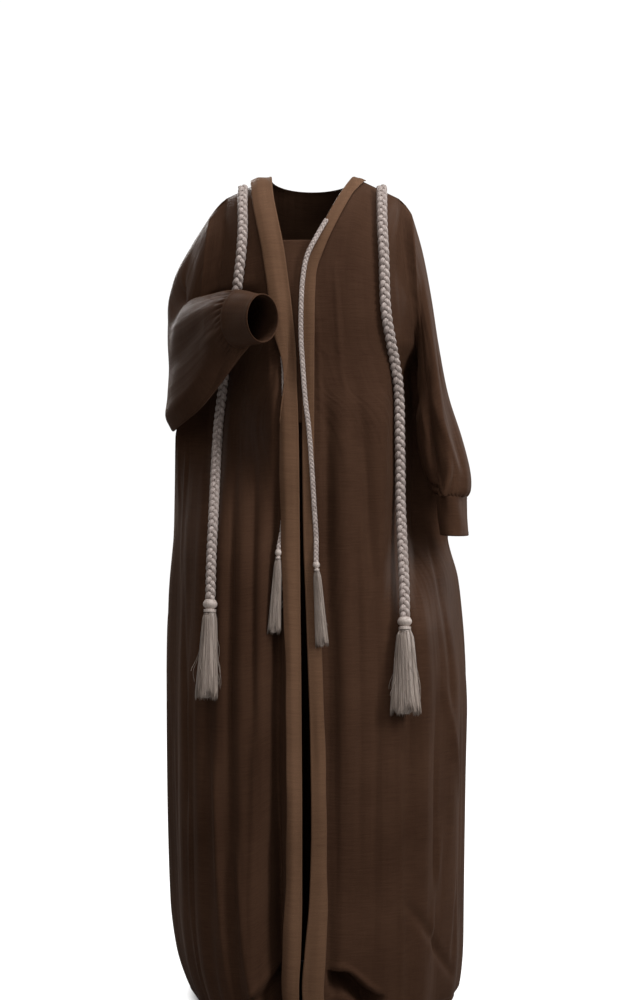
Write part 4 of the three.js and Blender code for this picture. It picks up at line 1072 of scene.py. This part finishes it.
def add_floor():
    """White paper, as bright as the background but for a painted shadow in the garment's own footprint, which
    fades out.
    """
    mesh = bpy.data.meshes.new("floor")
    corners = [(x * FLOOR_REACH, y * FLOOR_REACH, FLOOR_Z) for x, y in ((-1, -1), (1, -1), (1, 1), (-1, 1))]
    mesh.from_pydata(corners, [], [(0, 1, 2, 3)])
    material, tree, surface = new_material("white_studio_paper", Roughness=0.9, Specular_IOR_Level=0.0,
                                           Emission_Color=(1, 1, 1, 1))
    place = add(tree, "ShaderNodeNewGeometry").outputs["Position"]
    centred = add(tree, "ShaderNodeVectorMath", {0: place, 1: PAINTED_FOOTPRINT_SHADOW["middle"]}, operation="SUBTRACT")
    share = (1 / PAINTED_FOOTPRINT_SHADOW["across"], 1 / PAINTED_FOOTPRINT_SHADOW["deep"], 0)
    scaled = add(tree, "ShaderNodeVectorMath", {0: centred.outputs["Vector"], 1: share}, operation="MULTIPLY")
    out = add(tree, "ShaderNodeVectorMath", {0: scaled.outputs["Vector"]}, operation="LENGTH")
    out = out.outputs["Value"]
    # painted shadow: the camera's glow and the base colour both fall to near black inside the footprint
    white = spread(tree, out, *PAINTED_FOOTPRINT_SHADOW["glow"], interpolation_type="SMOOTHSTEP")
    tree.links.new(spread(tree, out, *PAINTED_FOOTPRINT_SHADOW["shade"], 0.01, 0.3), surface.inputs["Base Color"])
    seen = add(tree, "ShaderNodeLightPath").outputs["Is Camera Ray"]
    tree.links.new(worked(tree, "MULTIPLY", seen, white), surface.inputs["Emission Strength"])
    mesh.materials.append(material)
    linked("floor", mesh)


# Soft boxes: where each hangs, what it faces, its size in metres and its power in watts.
SOFT_BOXES = (
    dict(name="key", at=(2.6, -2.1, 1.2), aim=(0.05, 0, -0.65), size=(0.9, 1.7), power=88),
    dict(name="fill", at=(-0.5, -3.2, 0.9), aim=(0, 0, -0.8), size=(0.9, 1.8), power=14),
    dict(name="overhead", at=(0.3, -0.9, 2.2), aim=(0, 0, -1.4), size=(2.0, 1.6), power=50),
    dict(name="rim_left", at=(2.3, 1.3, 0.3), aim=(0, 0, -0.6), size=(0.6, 2.0), power=26),
    dict(name="back", at=(-1.3, 3.0, 1.0), aim=(0, 0, -0.7), size=(1.2, 1.8), power=72),
    dict(name="rim_right", at=(-2.3, 1.5, 0.3), aim=(0, 0, -0.6), size=(0.6, 2.0), power=6),
)
# The room fills the shadows with a weak warm light, and the camera sees a white backdrop.
ROOM, ROOM_STRENGTH = (1.0, 0.88, 0.78, 1.0), 0.17
BACKDROP, BACKDROP_STRENGTH = (1, 1, 1, 1), 1.05


def add_lights():
    for box in SOFT_BOXES:
        data = bpy.data.lights.new(box["name"], "AREA")
        data.shape = "RECTANGLE"
        data.size, data.size_y = box["size"]
        data.energy = box["power"]
        aimed(box["name"], data, box["at"], box["aim"])
    world = bpy.data.worlds.new("studio")
    bpy.context.scene.world = world
    world.use_nodes = True
    tree = world.node_tree
    background = next(n for n in tree.nodes if n.type == "BACKGROUND")
    seen = add(tree, "ShaderNodeLightPath").outputs["Is Camera Ray"]
    colour = add(tree, "ShaderNodeMix", {0: seen, "A": ROOM, "B": BACKDROP}, data_type="RGBA")
    tree.links.new(colour.outputs["Result"], background.inputs["Color"])
    tree.links.new(spread(tree, seen, 0, 1, ROOM_STRENGTH, BACKDROP_STRENGTH), background.inputs["Strength"])


# ---------------- the garment


def dress(made, node):
    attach(made, "root")
    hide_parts(node)
    return made


def add_cloth(node, shape, materials):
    made = dress(shape.object("cloth_" + node, materials), node)


def hemmed(points, normals):
    """Wall of a panel with running stitches along the row nearest to its hem's stitch line."""
    points, uv = panel_finish(points, normals)
    shape = cloth_wall(points, normals, uv, CLOTH)
    from_hem = (uv[:, 0, 1] - uv[-1, 0, 1]) / MM
    row = int(np.argmin(np.abs(from_hem - HEM_DEPTH)))
    stitch_line(shape, points[row, 2:-2], normals[row, 2:-2], **HEM_STITCH)
    return shape


def add_panels(crepe, thread):
    panels = {"front_right": front_panel(-1), "front_left": front_panel(1), "back": back_panel()}
    for node, surface in panels.items():
        add_cloth(node, hemmed(*surface), (crepe, thread))


def tube_wall(side, points, normals, thickness):
    """Wall of a sleeve or cuff, its columns turned so that both arms' faces point outwards."""
    points, normals = points[:, ::side], normals[:, ::side]
    return cloth_wall(points, normals, measured_uv(points, True), thickness, ring=True)


def add_sleeves(crepe, thread):
    arms = (
        (-1, "right", RIGHT_SLEEVE, RIGHT_SLEEVE_CREASES, RIGHT_CUFF_END),
        (1, "left", LEFT_SLEEVE, LEFT_SLEEVE_CREASES, LEFT_CUFF_END),
    )
    for side, word, sections, creases, cuff_end in arms:
        shape = tube_wall(side, *sleeve_surface(side, sections, creases), CLOTH)
        add_cloth("sleeve_" + word, shape, (crepe,))
        cuff, normals = cuff_surface(side, sections, cuff_end)
        shape = tube_wall(side, cuff, normals, CUFF_LAYERS * CLOTH)
        for row in CUFF_STITCH_ROWS:
            stitch_line(shape, cuff[row], normals[row], **CUFF_STITCH)
        add_cloth("cuff_" + word, shape, (crepe, thread))


def add_trim(crepe, facing):
    strips = (
        ("band_right", band_surface(-1), facing, "facing"),
        ("band_left", band_surface(1), facing, "facing"),
        ("underlap", underlap_surface(), crepe, "crepe"),
    )
    for node, points, material, slot in strips:
        shape = cloth_wall(points, normals_of(points), measured_uv(points), CLOTH)
        add_cloth(node, shape, (material,))


def add_cords(cord_yarn, head_yarn, thread):
    for cord in CORDS:
        name = cord["name"]
        shape, line = plait(cord)
        rope = dress(shape.object(name + "_plait", [cord_yarn]), name + "_cord")
        end = dress(tassel(cord).object(name + "_end", [head_yarn, thread]), name + "_tassel")


def main():
    add_camera()
    cord_yarn = viscose("plaited_viscose_cord", "#7a6c66", "#bdb0aa", 0.0009, 0.012, 0.45, 0.1)
    head_yarn = viscose("wound_viscose", "#94867e", "#cdc1b9", 0.0006, 0.02, 0.4, 0.1)
    thread = viscose("cut_viscose_thread", "#493b33", "#bcada2", 0.0011, 0.09, 0.42, 0.1)
    add_cords(cord_yarn, head_yarn, thread)
    crepe = woven_crepe("polyester_crepe", "#25160f", "#4f392c", 0.18, "#80624e")
    facing = woven_crepe("crepe_wrong_side", "#483426", "#735744", 0.12, "#8a6c58")
    sewing = viscose("sewing_thread", "#2b1c13", "#4a3428", 0.0005, 0.004, 0.5, 0.1)
    add_panels(crepe, sewing)
    add_sleeves(crepe, sewing)
    add_trim(crepe, facing)
    add_floor()
    add_lights()
    bpy.context.scene.view_settings.view_transform = "Standard"


main()
